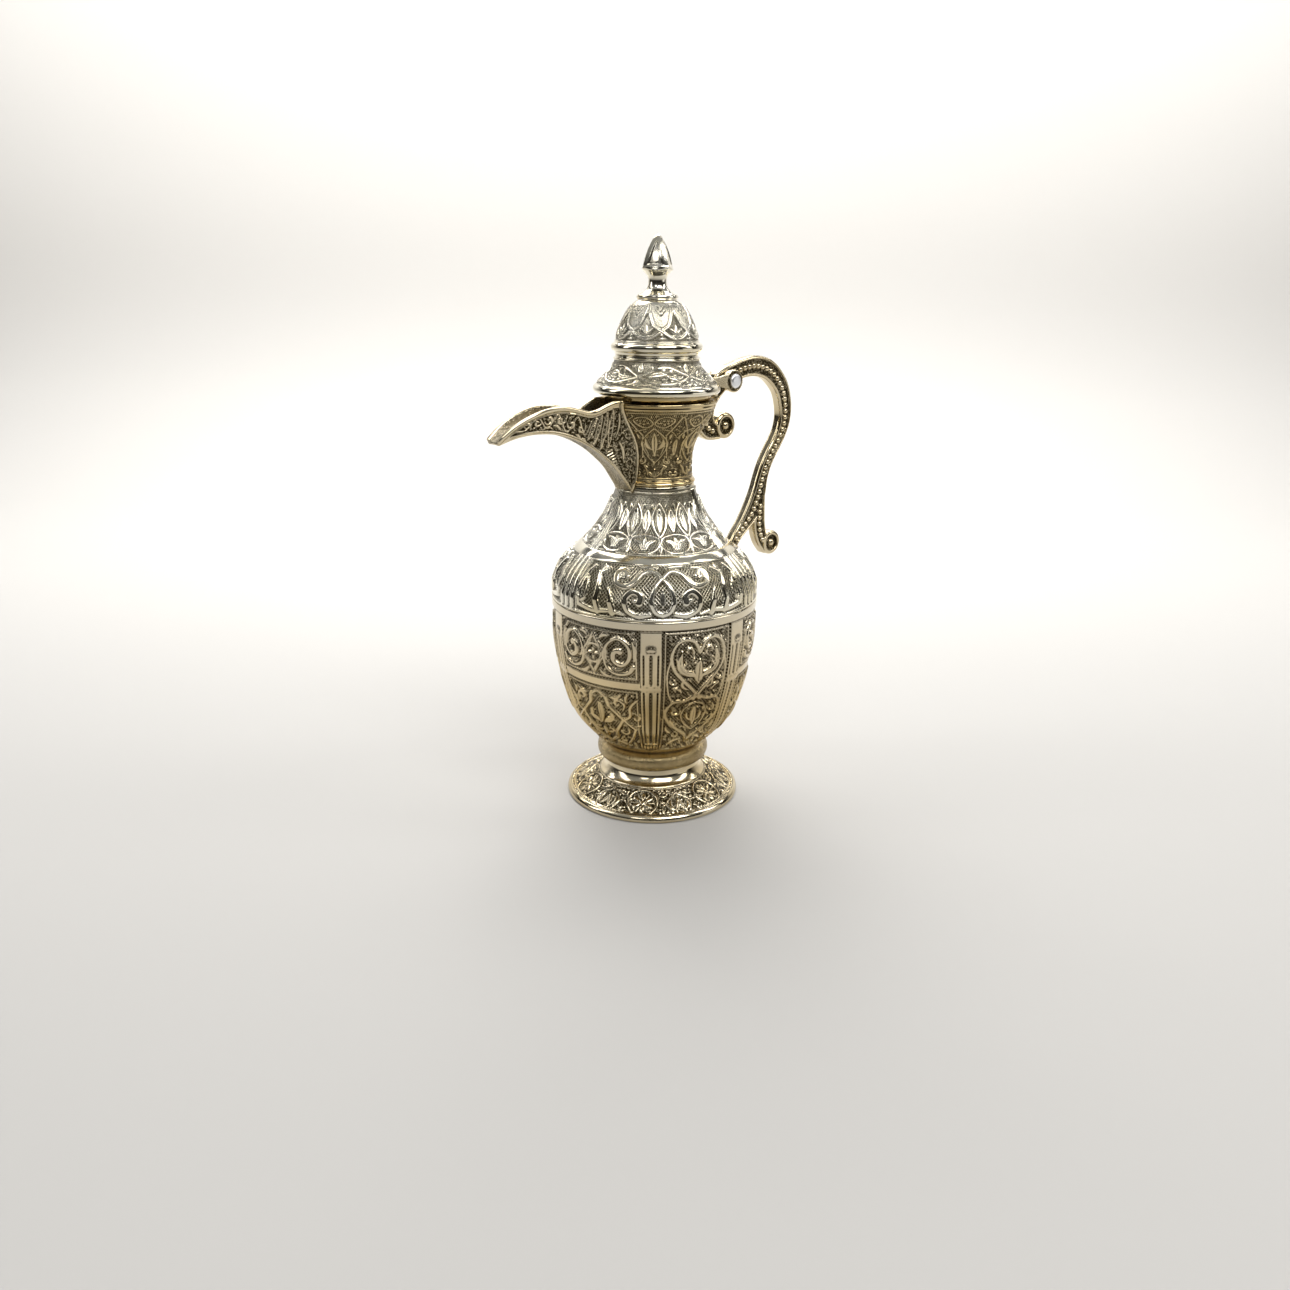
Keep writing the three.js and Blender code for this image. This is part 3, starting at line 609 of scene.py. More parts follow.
def draw_ovals(p, at, top):
    """Lid skirt: two straps that cross into pointed ovals filled with sprays."""
    u = np.linspace(-1, 1, 41)
    middle, swing = top * 0.48, top * 0.34
    for way in (-1, 1):
        p.line(at(u, middle + way * swing * np.cos(0.5 * math.pi * u)), 0.5, 0.22, flat=True)
    p.leaf((-6.4, middle - 0.4), (0.6, middle + 1.0), 1.2, 0.24, 0.12, 0.3, pair=False)
    p.leaf((0.4, middle + 0.6), (6.8, middle - 0.2), 1.0, 0.24, -0.14, 0.3, pair=False)
    for x, y in ((-2.6, -2.3), (-0.2, -2.6), (2.2, -2.0), (-4.6, -1.6), (2.4, 2.5), (-0.4, 2.9),
                 (4.4, -1.6)):
        p.dot(x, middle + y, 0.62, 0.2)
        p.cut([(x, middle + y), (x + 0.01, middle + y)], 0.25, 0.14)
    p.leaf(*at(1.0, [middle + 2.0, top - 0.8]), 1.2, 0.2, vein=0.2)
    p.leaf(*at(1.0, [middle - 1.8, 0.7]), 1.5, 0.2, vein=0.2)
    p.leaf(*at([0.9, 0.66], [1.6, 0.9]), 0.5, 0.16, 0.1)
    p.sprinkle(1.6, 0.7, 0.18, 19)


def draw_arcade(p, at, top):
    """Lid dome: straps that cross under pointed petals, with trefoils between the petals."""
    tip = 3.9
    share = [0.97, 0.93, 0.8, 0.55, 0.26, 0.0]
    rise = [top + 0.4, top - 2.2, top - 4.2, tip + 2.2, tip + 0.8, tip]
    inside = np.interp(p.y, rise[::-1], share[::-1]) * np.abs(p.x).max(1, keepdims=True)
    p.h[(p.y > tip) & (np.abs(p.x) < inside)] = 0.0
    for line in twins(bend(at(share + [-0.36, -0.7, -1.0], rise + [2.4, 1.3, 0.9]))):
        p.line(line, 0.62, 0.3, flat=True)
        p.cut(line, 0.2, 0.16)
    for low, wide in ((top - 4.6, 1.9), (top - 2.9, 1.3)):
        for line in twins(bend([(-wide, low + 2.6), (-0.4 * wide, low + 0.8), (0, low)])):
            p.cut(line, 0.2, 0.2)
    edge = at(1.0, [5.0])[0][0]
    for lean in (-1.0, 0.0, 1.0):
        p.leaf((edge, 2.6), (edge + lean * 2.3, 4.6 + (1 - abs(lean)) * 1.8), 0.72, 0.28)
    p.leaf((edge - 2.2, 2.0), (edge + 2.2, 2.0), 0.35, 0.22)
    p.leaf((-1.7, 0.9), (1.7, 0.9), 0.4, 0.2, pair=False)
    p.leaf((0, 1.2), (0, 3.0), 0.55, 0.24)


# ---------------------------------------------------------------- materials


REFLECTION_BLEND_HEIGHTS = (0.045, 0.088)  # metres; up this span the bowl is blended from its lower gold to the lighter upper colour, a painted reflection
HATCH_LINES = 88  # each way round the pot
HATCH_RADIUS = 0.04  # metres; the lines lean at 45 degrees where the wall has this radius
HATCH_SHARPNESS = 10
STIPPLE_SCALE = 1500.0  # dots to the metre
GROUND_ROUGHNESS = 0.42
BUMP_DEPTH = 0.0003  # metres


def plated(name, bright, shade, patina_and_shade_colour, gloss, grain=1.0, hatched=False, upper_reflection_colour=None):
    """Polished plated casting: patinated recesses with painted shade in their crevices, faint
    tarnish and fine grain.

    The colours are the bright metal, its tarnished shade and the dark of the patinated recesses,
    also used for painted shade. The sunk ground is crosshatched or stippled.
    upper_reflection_colour is the lighter colour of the upper bowl; the bowl is blended to it with
    height as a painted reflection.
    """
    material = bpy.data.materials.new(name)
    material.use_nodes = True
    nodes, links = material.node_tree.nodes, material.node_tree.links
    shader = nodes["Principled BSDF"]
    shader.inputs["Metallic"].default_value = 1.0

    def add(kind, output, **inputs):
        """A node with its inputs set or linked. Returns the output of that name."""
        node = nodes.new("ShaderNode" + kind)
        for key, value in inputs.items():
            feed(node.inputs[key.replace("_", " ")], value)
        return node.outputs[output]

    def feed(socket, value):
        if isinstance(value, bpy.types.NodeSocket):
            links.new(value, socket)
        else:
            socket.default_value = value

    def noise(scale, detail):
        return add("TexNoise", "Fac", Vector=place, Scale=scale, Detail=detail)

    def ramp(source, low, high, to_low, to_high):
        return add("MapRange", "Result", Value=source, From_Min=low, From_Max=high,
                   To_Min=to_low, To_Max=to_high)

    def split_place():
        axes = nodes.new("ShaderNodeSeparateXYZ")
        links.new(place, axes.inputs["Vector"])
        return axes.outputs

    def calculate(operation, first, second, clamp=False):
        node = nodes.new("ShaderNodeMath")
        node.operation, node.use_clamp = operation, clamp
        for socket, value in zip(node.inputs, (first, second)):
            feed(socket, value)
        return node.outputs["Value"]

    def blend(share, first, second):
        node = nodes.new("ShaderNodeMix")
        node.data_type = "RGBA"
        feed(node.inputs["Factor"], share)
        colours = [socket for socket in node.inputs if socket.type == "RGBA"]
        for socket, value in zip(colours, (first, second)):
            feed(socket, (*value, 1.0) if isinstance(value, tuple) else value)
        return [socket for socket in node.outputs if socket.type == "RGBA"][0]

    place = nodes.new("ShaderNodeTexCoord").outputs["Object"]
    recess = nodes.new("ShaderNodeAttribute")
    recess.attribute_name = PATINA_AND_SHADE_LAYER
    clouds, specks = noise(70.0, 3.0), noise(900.0, 2.0)
    deep = calculate("MULTIPLY", recess.outputs["Fac"], ramp(clouds, 0.3, 0.7, 0.75, 1.1))
    deep = calculate("MULTIPLY", deep, ramp(specks, 0.35, 0.65, 0.8, 1.1), clamp=True)
    if hatched:
        x, y, z = split_place()
        around = calculate("MULTIPLY", calculate("ARCTAN2", y, x), HATCH_LINES)
        up = calculate("MULTIPLY", z, HATCH_LINES / HATCH_RADIUS)
        waves = [calculate("COSINE", calculate(way, around, up), 0) for way in ("ADD", "SUBTRACT")]
        lines = [calculate("POWER", calculate("ABSOLUTE", wave, 0), HATCH_SHARPNESS)
                 for wave in waves]
        texture = calculate("MAXIMUM", *lines)
    else:
        dots = add("TexVoronoi", "Distance", Vector=place, Scale=STIPPLE_SCALE)
        texture = ramp(dots, 0.5, 0.15, 0.0, 1.0)
    # Painted glint and shade: the hatch lines or stipple dots are painted lighter, the ground
    # between them darker.
    deep = calculate("MULTIPLY", deep, ramp(texture, 0.15, 0.75, 1.25, 0.4), clamp=True)
    tarnish = ramp(noise(36.0, 4.0), 0.42, 0.68, 0.0, 0.9)
    metal = blend(tarnish, bright, shade)
    # Painted reflection: the upper bowl lighter, the lower bowl golden as though it mirrored a gold
    # tray below.
    if upper_reflection_colour:
        metal = blend(ramp(split_place()["Z"], *REFLECTION_BLEND_HEIGHTS, 0.0, 1.0), metal, upper_reflection_colour)
    links.new(blend(deep, metal, patina_and_shade_colour), shader.inputs["Base Color"])
    rough = ramp(deep, 0.0, 1.0, gloss, GROUND_ROUGHNESS)
    rough = calculate("ADD", rough, ramp(noise(220.0, 4.0), 0.35, 0.7, -0.03, 0.07))
    links.new(rough, shader.inputs["Roughness"])
    relief = calculate("MULTIPLY", texture, recess.outputs["Fac"])
    relief = calculate("ADD", relief, calculate("MULTIPLY", noise(420.0, 3.0), 0.17 * grain))
    bump = add("Bump", "Normal", Strength=0.45, Distance=BUMP_DEPTH, Height=relief)
    links.new(bump, shader.inputs["Normal"])
    return material


SILVER = plated("silver_plate", (0.83, 0.79, 0.67), (0.64, 0.56, 0.37), (0.045, 0.037, 0.018),
                0.13, hatched=True)
GOLDEN = plated("golden_plate", (0.62, 0.51, 0.31), (0.44, 0.33, 0.15), (0.03, 0.021, 0.007),
                0.14, hatched=True)
# Painted reflection: golden below, blended up the wall to a lighter colour, as if the lower bowl
# mirrored a gold tray.
BOWL_GOLD = plated("bowl_plate", (0.72, 0.56, 0.29), (0.42, 0.29, 0.11), (0.026, 0.017, 0.005),
                   0.13, hatched=True, upper_reflection_colour=(0.68, 0.62, 0.49))
CHAMPAGNE = plated("champagne_plate", (0.70, 0.61, 0.43), (0.52, 0.41, 0.22),
                   (0.035, 0.026, 0.01), 0.14)
PIN = plated("bright_pin", (0.90, 0.91, 0.92), (0.84, 0.85, 0.86), (0.12, 0.11, 0.10), 0.32, 1.6)
STEEL = plated("steel", (0.68, 0.69, 0.70), (0.60, 0.60, 0.60), (0.25, 0.24, 0.22), 0.38, 2.0)


# ---------------------------------------------------------------- turned castings

# Radius and Z of the outside, shared by the castings and what is seated against them.
SHOULDER_WALL = [(41.0, 85.3), (40.7, 89.5), (39.7, 92.9), (38.0, 97.0), (35.5, 100.3),
                 (32.0, 103.8), (28.5, 106.8), (25.3, 110.1), (22.3, 113.9), (19.4, 118.4),
                 (17.2, 123.4), (15.7, 127.8), (15.1, 130.0)]
NECK_FOOT = [(15.1, 131.3), (14.4, 132.1)]
NECK_WALL = [(14.05, 134.5), (14.0, 138.0), (14.3, 142.2), (15.2, 145.6), (17.0, 149.2),
             (19.3, 152.7), (21.3, 156.0), (22.6, 158.9)]
RIM = (23.3, 161.3)


def wall_radius(z):
    """Outer radius of shoulder and neck at a height."""
    radius, height = zip(*SHOULDER_WALL, *NECK_FOOT, *NECK_WALL, RIM)
    return np.interp(z, height, radius)


def make_foot():
    """A flared rim, an engraved dome and a plain flare up to the stem."""
    skin = Skin(
        [[(34.6, 0.0), (35.2, 0.1), (35.65, 0.8), (35.4, 1.9), (34.5, 2.75), (33.3, 3.1)],
         [(32.9, 2.5), (32.4, 2.7)],
         [(28.9, 4.9), (25.0, 7.2), (21.9, 8.9)],
         [(21.5, 9.3), (20.4, 9.9), (19.3, 10.9), (18.3, 12.4), (18.0, 14.7)]],
        900, 0.25,
    )
    draw_on(skin, 2.85, 8.9, -138, 30, 6, 0.18, draw_rosettes, 0.28)
    inside = [(2.7, 14.7), (2.7, 13.0), (16.2, 12.9), (18.0, 10.0), (20.4, 7.7), (24.1, 5.6),
              (28.0, 3.3), (31.5, 1.2), (33.0, 0.0)]
    skin.build("foot_casting", "pot", inside, CHAMPAGNE, ["foot"])


def make_stem_collar():
    """The fat polished ring under the bowl."""
    skin = Skin(
        [[(17.9, 14.9), (18.6, 15.1), (18.8, 15.5)],
         [(20.7, 15.8), (22.4, 17.3), (22.95, 19.4), (22.4, 21.5), (20.7, 23.0)],
         [(20.0, 23.3), (20.1, 23.9), (20.6, 24.1)]],
        320, 0.25,
    )
    # Painted reflection: the whole ring darkened by 0.5 as if it mirrored a dark tray below.
    skin.patina_and_shade += 0.5
    skin.ring(23.4, 0.25, -0.2)
    inside = [(6.6, 24.1), (6.6, 14.9)]
    skin.build("stem_ring", "pot", inside, BOWL_GOLD, ["stem_collar"])


def make_bowl():
    """The bowl, from the stem up to the seam at the widest place."""
    skin = Skin(
        [[(21.3, 24.3), (21.9, 25.0), (25.1, 28.0), (28.7, 32.0), (31.7, 36.0), (33.8, 40.2),
          (36.2, 48.0), (38.2, 56.0), (39.7, 66.0), (40.7, 77.0), (41.0, 84.4)],
         [(40.9, 84.8), (40.5, 84.95)]],
        960, 0.37,
    )
    draw_bowl(skin)
    inside = [(39.0, 84.95), (37.8, 84.0), (37.6, 66.0), (36.2, 56.0), (34.2, 48.0), (31.9, 40.6),
              (28.0, 34.0), (22.0, 28.6), (8.0, 27.2), (0.05, 27.0), (0.05, 24.3)]
    skin.build("bowl", "pot", inside, BOWL_GOLD, ["lower_body"])


def make_shoulder():
    """From the seam to the waist."""
    skin = Skin([[(40.5, 85.0), (40.85, 85.15), SHOULDER_WALL[0]], SHOULDER_WALL[1:]], 960, 0.31)
    draw_shoulder(skin)
    inside = [(13.2, 130.0), (13.9, 127.0), (15.5, 122.8), (17.8, 117.6), (20.8, 112.8),
              (23.9, 108.8), (27.3, 105.4), (30.8, 102.4), (34.2, 98.9), (36.5, 95.6),
              (37.9, 92.2), (38.9, 89.0), (39.0, 85.1)]
    skin.build("shoulder", "pot", inside, SILVER, ["upper_body"])


def make_neck():
    """The waisted ring, the engraved neck and its bright rim."""
    skin = Skin([[(14.6, 130.1), (15.0, 130.2), (15.45, 130.8), (15.0, 131.6), (14.5, 131.9)],
                 NECK_WALL,
                 [(22.9, 159.3), (22.85, 160.2)],
                 [(23.4, 160.5), (23.35, 161.2), (22.9, 161.3), (22.3, 161.25)]],
                540, 0.22)
    draw_on(skin, 132.6, 158.6, -132, 30, 6, 0.14, draw_neck, 0.16, 1.3)
    inside = [(22.0, 160.9), (21.5, 159.4), (19.9, 156.0), (17.9, 152.9), (15.6, 149.2),
              (13.7, 145.4), (12.8, 142.0), (12.5, 138.0), (12.5, 130.1)]

    def keep(middles):
        """Leaves the spout's way in open, its edges hidden in the spout's walls."""
        x, y, z = middles.T
        half = np.interp(z, [136.0, 160.0], [3.9, 6.6])
        return ~((x < 0) & (np.abs(y) < half) & (z > 136.4))

    skin.build("neck_tube", "pot", inside, GOLDEN, ["neck"], keep=keep)


def make_lid():
    """Skirt with its brim, dome with its fat bead, and the collar that drops into the neck."""
    skirt = Skin(
        [[(22.9, 163.75), (23.6, 163.9), (24.15, 164.6), (24.25, 165.3), (24.0, 166.2),
          (23.3, 166.85)],
         [(22.95, 166.95), (22.9, 167.3)],
         [(21.2, 169.0), (19.0, 170.9), (17.2, 172.8), (16.3, 174.9), (16.1, 175.8)],
         [(16.4, 176.1), (16.3, 176.6)],
         [(15.7, 176.8), (15.6, 177.55)]],
        720, 0.2,
    )
    draw_on(skirt, 167.45, 175.8, -120, 30, 6, 0.12, draw_ovals, 0.2)
    inside = [(13.3, 177.55), (13.4, 176.4), (14.6, 173.2), (17.0, 170.2), (19.6, 167.9),
              (21.2, 166.4), (21.3, 163.9)]
    skirt.build("lid_skirt_casting", "lid", inside, SILVER, ["lid_skirt"])
    dome = Skin(
        [[(15.0, 177.7), (15.7, 177.9), (15.9, 178.7)],
         [(16.9, 179.3), (17.25, 180.4), (16.9, 181.5), (15.9, 182.1)],
         [(15.75, 182.4), (15.9, 182.7), (15.6, 183.2)],
         [(14.4, 186.6), (13.0, 190.0), (11.4, 193.2), (9.3, 195.8), (7.6, 197.1)]],
        576, 0.2,
    )
    draw_on(dome, 183.0, 195.6, -123.5, 22.5, 8, 0.16, draw_arcade, 0.2, 1.25)
    inside = [(1.7, 197.1), (1.7, 195.2), (6.8, 195.2), (9.2, 193.2), (11.2, 190.0), (12.6, 186.6),
              (14.0, 182.6), (14.5, 180.4), (14.5, 177.8)]
    dome.build("lid_dome_casting", "lid", inside, SILVER, ["lid_dome"])
    collar = Skin(
        [[(19.5, 158.5), (19.85, 158.6), (20.2, 160.6), (20.75, 162.7), (20.8, 165.9)]], 240, 0.3)
    inside = [(19.7, 165.9), (19.6, 163.0), (18.7, 158.7), (19.0, 158.45)]
    collar.build("lid_inner_collar", "lid", inside, GOLDEN, ["lid_collar"])


BUD_FACE = -140  # degrees round the axis; the way that one face of the bud looks


def make_finial():
    """Four hollowed, framed faces make the bud above a waisted stem."""
    skin = Skin(
        [[(7.3, 197.3), (7.75, 197.9), (7.5, 198.8), (6.2, 199.5)],
         [(5.0, 200.2), (3.8, 201.6), (3.35, 203.6), (3.7, 205.4), (5.0, 206.9)],
         [(6.0, 207.7), (6.2, 208.4), (5.95, 209.0)],
         [(5.5, 210.8), (4.7, 213.2), (3.3, 216.2), (1.7, 218.7), (0.35, 219.85),
          (0.02, 219.95)]],
        360, 0.12,
    )

    def faceted(r, z, angle):
        """Squares the rings of the bud and sinks an arched field into each face."""
        quarter = math.pi / 2
        turn = (angle - math.radians(BUD_FACE) + quarter / 2) % quarter - quarter / 2
        squared = smooth(207.2, 208.4, z) * (1 - smooth(217.8, 219.6, z))
        square = 1.1 * (math.cos(quarter / 2) / np.cos(turn)) ** 0.6
        arch = math.radians(34) * np.clip(1 - (z - 209.4) / 8.2, 0, 1) ** 0.35
        sunk = 0.55 * smooth(0.0, 0.16, arch - np.abs(turn)) * smooth(209.0, 209.7, z)
        return r * (1 + squared * (square - 1)) - sunk * squared * (r > 2.0)

    inside = [(0.02, 206.0), (1.6, 206.0), (1.6, 197.3)]
    skin.build("finial_bud", "lid", inside, SILVER, ["finial"], shape=faceted)


# ---------------------------------------------------------------- spout

# Stations of the beak: top X and Z, bottom X and Z, half width there at the top and bottom.
SPOUT = np.array([
    (-73.45, 151.9, -72.8, 150.0, 3.7, 3.3),
    (-71.2, 153.6, -69.6, 151.0, 4.2, 3.3),
    (-66.6, 156.7, -64.4, 152.1, 4.7, 3.2),
    (-60.4, 159.4, -57.8, 152.6, 5.0, 3.1),
    (-53.8, 161.2, -51.0, 152.2, 5.2, 3.1),
    (-47.0, 161.6, -45.0, 150.9, 5.2, 3.1),
    (-41.0, 160.6, -38.8, 148.6, 5.2, 3.2),
    (-36.0, 159.3, -32.6, 145.3, 5.3, 3.3),
    (-32.5, 159.6, -27.6, 141.6, 5.6, 3.5),
    (-28.5, 161.2, -22.8, 137.4, 6.2, 3.9),
    (-25.0, 162.3, -18.8, 132.4, 7.0, 4.4),
    (-21.5, 162.4, -14.2, 126.2, 7.9, 4.6),
    (-13.6, 161.4, -12.8, 125.6, 7.4, 4.6),
])
SPOUT_LIP = 1.1
SPOUT_WALL = 1.5
SPOUT_FLOOR = 1.8
LEAST_HEIGHT = 2.2  # the tip's sides are no lower than this when a length is shared out


def draw_spout_side(p, low_edge, high_edge):
    """Scrolls near the tip, narrow leaves in a fan, and a comb of short bars at the root."""
    p.line(high_edge, 0.42, 0.22)
    p.line(low_edge, 0.42, 0.22)
    for x, z, size, start, way in ((-61.6, 156.4, 1.5, 200, 1), (-57.4, 156.9, 1.7, 20, -1),
                                   (-52.6, 157.6, 2.0, 200, 1), (-47.4, 157.2, 2.0, 10, -1),
                                   (-42.8, 155.4, 2.0, 160, 1), (-38.6, 153.4, 1.9, 40, -1)):
        p.comma(x, z, size, start, way, 0.34, pair=False)
    p.line(bend([(-66.0, 154.3), (-62.0, 154.8), (-57.6, 158.6), (-53.0, 154.6), (-49.0, 159.2),
                 (-44.6, 152.6), (-40.4, 157.6), (-37.0, 151.0), (-34.6, 155.6)]), 0.3, 0.3)
    for x0, z0, x1, z1 in ((-67.6, 154.9, -63.6, 156.8), (-50.4, 155.2, -47.2, 153.4),
                           (-44.8, 158.8, -41.4, 158.6), (-38.4, 149.6, -36.0, 148.2),
                           (-40.6, 151.4, -38.6, 149.4)):
        p.leaf((x0, z0), (x1, z1), 0.6, 0.3, 0.15, pair=False)
    p.leaf((-55.0, 154.0), (-51.6, 154.6), 0.55, 0.3, 0.15, pair=False)
    for base, tip in (((-32.4, 156.8), (-35.4, 149.0)), ((-30.2, 158.0), (-32.6, 147.0)),
                      ((-28.0, 159.2), (-29.6, 145.4)), ((-25.8, 159.8), (-26.6, 145.6))):
        p.almond(base, tip, 0.75, 0.24, 0.3, pair=False)
        for x, z in np.linspace(base, tip, 9)[1:-1]:
            p.line([(x - 0.35, z - 0.15), (x + 0.35, z + 0.2)], 0.18, 0.2)
    for base, tip in (((-31.4, 152.0), (-33.4, 146.6)), ((-28.9, 150.0), (-30.6, 144.0)),
                      ((-27.2, 156.6), (-28.1, 149.6)), ((-23.6, 158.8), (-23.9, 149.6))):
        p.leaf(base, tip, 0.4, 0.28, 0.08, pair=False)
    for k in range(14):
        x, z = -27.4 + 0.62 * k, 143.6 - 1.06 * k
        p.line([(x, z), (x + 2.5 - 0.09 * k, z + 1.0)], 0.27, 0.32)
        p.dot(x + 3.3 - 0.1 * k, z + 1.9, 0.3, 0.26)
    p.leaf((-22.6, 147.8), (-20.2, 140.2), 0.5, 0.28, 0.1, pair=False)
    p.sprinkle(1.5, 0.62, 0.26, 23)


def spout_stations(count):
    """The stations of the beak, evenly spaced along its top edge."""
    line = bend(SPOUT)
    length = arc_length(line)
    spots = np.linspace(0, length[-1], count)
    return np.column_stack([np.interp(spots, length, column) for column in line.T])


def spout_side(low, span, rise, y, tall):
    """The outside of the beak's wall in relief: its distance from the middle, and how dark it is
    painted, patinated in the relief with painted shade where it meets the neck.
    """
    x, z = np.moveaxis(low + span * rise[..., None], -1, 0)
    panel = Panel(x, z, 0.22)
    high_edge = low[:, 0] + span[:, 0] * (1 - np.minimum(1.9 / tall, 0.42))
    low_edge = low[:, 0] + span[:, 0] * np.minimum(1.0 / tall, 0.3)
    engraved = slice(int(14 * FINENESS), -int(26 * FINENESS))
    draw_spout_side(panel, low_edge[engraved], high_edge[engraved])
    from_top, from_low = (1 - rise) * tall, rise * tall
    off_wall = np.hypot(x, y) - wall_radius(z)
    field = smooth(1.7, 2.3, from_top) * smooth(0.5, 0.9, from_low)
    field = field * smooth(1.5, 1.9, off_wall) * smooth(-69.0, -67.6, x)
    collar = np.sqrt(np.clip(1 - ((off_wall - 0.8) / 0.6) ** 2, 0, 1))
    lip = np.sqrt(np.clip(1 - ((from_top - 0.55) / 1.15) ** 2, 0, 1)) * np.minimum(tall / 6, 1)
    # Painted shade: crevice shade from the relief, and the root within 1.7 mm of the pot's wall
    # darkened beside its bead, where the beak meets the neck.
    patina_and_shade = np.maximum(panel.patina_and_crevice_shade(0.3) * field, 0.75 * (1 - collar) * (off_wall < 1.7))
    return y + panel.h * field + 0.45 * lip + 0.4 * collar * (off_wall > 0), patina_and_shade


def make_spout():
    """Rings of one side of the U-shaped beak, from keel to lip and down inside, mirrored."""
    stations = spout_stations(int(300 * FINENESS))
    low, span = stations[:, None, 2:4], stations[:, None, :2] - stations[:, None, 2:4]
    wide, narrow = stations[:, None, 4], stations[:, None, 5]
    tall = np.hypot(span[..., 0], span[..., 1])
    height = np.maximum(tall, LEAST_HEIGHT)
    top = 1 - SPOUT_LIP * 0.5 / height
    rise = top * np.linspace(0, 1, int(96 * FINENESS))
    y, patina_and_shade = spout_side(low, span, rise, narrow + (wide - narrow) * rise**0.9, tall)
    turn = np.linspace(0, math.pi, 7)[1:-1]
    down = np.linspace(1, 0, 14)
    floor = np.minimum(SPOUT_FLOOR, 0.5 * tall) / np.maximum(tall, 0.1)
    keel = np.linspace(0, 1, 7)[:-1]
    hollow = 0.55 * np.cos(math.pi * keel / 2) * (1 - smooth(0.8, 1.0, keel))
    rises = [hollow * np.minimum(tall / 8, 1) / height, rise,
             top + SPOUT_WALL * 0.5 * np.sin(turn) / height, floor + (top - floor) * down, floor]
    ys = [narrow * keel, y, y[:, -1:] - SPOUT_WALL * 0.5 * (1 - np.cos(turn)),
          (y[:, -1:] - SPOUT_WALL) * (0.62 + 0.38 * down**0.7), 0 * floor]
    # The keel underneath and the inside of the channel are darkened to about 0.6; the lip is left
    # bright.
    darkening_rows = [0.62 + 0 * ys[0], patina_and_shade, 0 * ys[2], 0.6 + 0 * ys[3], 0.6 + 0 * floor]

    def ring(parts, side):
        half = np.hstack(parts)
        return np.hstack([side * half, half[:, -2:0:-1]])

    xz = low + span * ring(rises, 1)[..., None]
    verts = np.stack([xz[..., 0], ring(ys, -1), xz[..., 1]], -1)
    add_piece("beak_spout", "pot", verts.reshape(-1, 3), capped_tube(*verts.shape[:2]),
              CHAMPAGNE, ["spout"], ring(darkening_rows, 1).ravel())


# ---------------------------------------------------------------- handle

# Strokes of the handle in the middle plane: X, Z and half thickness.
MAIN_STROKE = [(31.0, 167.6, 2.2), (36.2, 168.3, 3.9), (41.0, 169.8, 3.8), (45.8, 171.0, 3.9),
               (52.0, 171.4, 4.1), (58.4, 169.9, 4.2), (63.4, 166.5, 4.1), (67.6, 161.4, 3.9),
               (69.7, 155.0, 3.7), (69.9, 149.5, 3.4), (68.4, 144.2, 3.1), (65.6, 139.4, 3.0),
               (62.6, 135.2, 3.0), (59.8, 130.4, 3.0), (57.8, 125.0, 3.2), (56.3, 119.0, 3.8),
               (53.2, 112.0, 4.2), (48.6, 106.6, 3.2), (44.6, 102.4, 2.6), (41.5, 98.0, 2.4),
               (38.6, 93.8, 2.4)]
TAIL_STROKE = [(57.8, 118.0, 2.2), (57.2, 111.0, 3.0), (57.2, 105.0, 3.5), (58.8, 99.6, 3.4),
               (61.8, 95.4, 3.2)]
BRACKET_STROKE = [(33.4, 164.6, 2.5), (29.6, 161.6, 2.9), (26.8, 158.6, 3.4), (25.0, 155.2, 3.9),
                  (24.2, 151.6, 4.7), (26.6, 148.0, 4.2), (31.6, 146.4, 2.9)]
VOLUTES = [(64.7, 96.7, 5.2), (35.3, 148.8, 5.2)]
PIN_X, PIN_Z = 36.0, 166.5
BEADED = [(MAIN_STROKE, 9.5, 6.5), (TAIL_STROKE, 4.6, 2.4), (BRACKET_STROKE, 5.0, 2.2)]
BEAD_PITCH, BEAD_RADIUS = 2.55, 1.2
LANE_EDGE, LANE_FLOOR = 1.2, 1.35  # in from the outline, and out from the middle plane
VOLUTE_WELL, VOLUTE_EYE = 3.4, 1.75
HALF_THICKNESS = 2.3
KNUCKLE_RADIUS, KNUCKLE_HALF = 4.1, 3.5
EAR_MIDDLE, EAR_HALF, EAR_RADIUS = 4.7, 0.9, 4.4
EAR_GROOVE = 3.25


def union_depth(x, z, strokes, discs):
    """How deep each point of the plane lies inside the union of strokes and discs."""
    depth = np.full(x.shape, -50.0)
    for stroke in strokes:
        line = bend(stroke)
        for a, b in zip(line, line[1:]):
            gap, share = to_segment(x, z, a, b)
            depth = np.maximum(depth, a[2] + (b[2] - a[2]) * share - gap)
    for cx, cz, radius in discs:
        depth = np.maximum(depth, radius - np.hypot(x - cx, z - cz))
    return depth


def soft_box(across, thick, edge):
    """Distance to a rounded bar: across is depth inside it, thick is how far out of it."""
    a, b = edge - across, thick + edge
    outer = np.hypot(np.maximum(a, 0), np.maximum(b, 0))
    return outer + np.minimum(np.maximum(a, b), 0) - edge


def sample_box(low, high, step):
    """X and Z of a sampled box in the middle plane, its samples of Y, and room for a field."""
    xs, ys, zs = (np.arange(a, b, step) for a, b in zip(low, high))
    return *np.meshgrid(xs, zs, indexing="ij"), ys, np.empty((len(xs), len(ys), len(zs)))


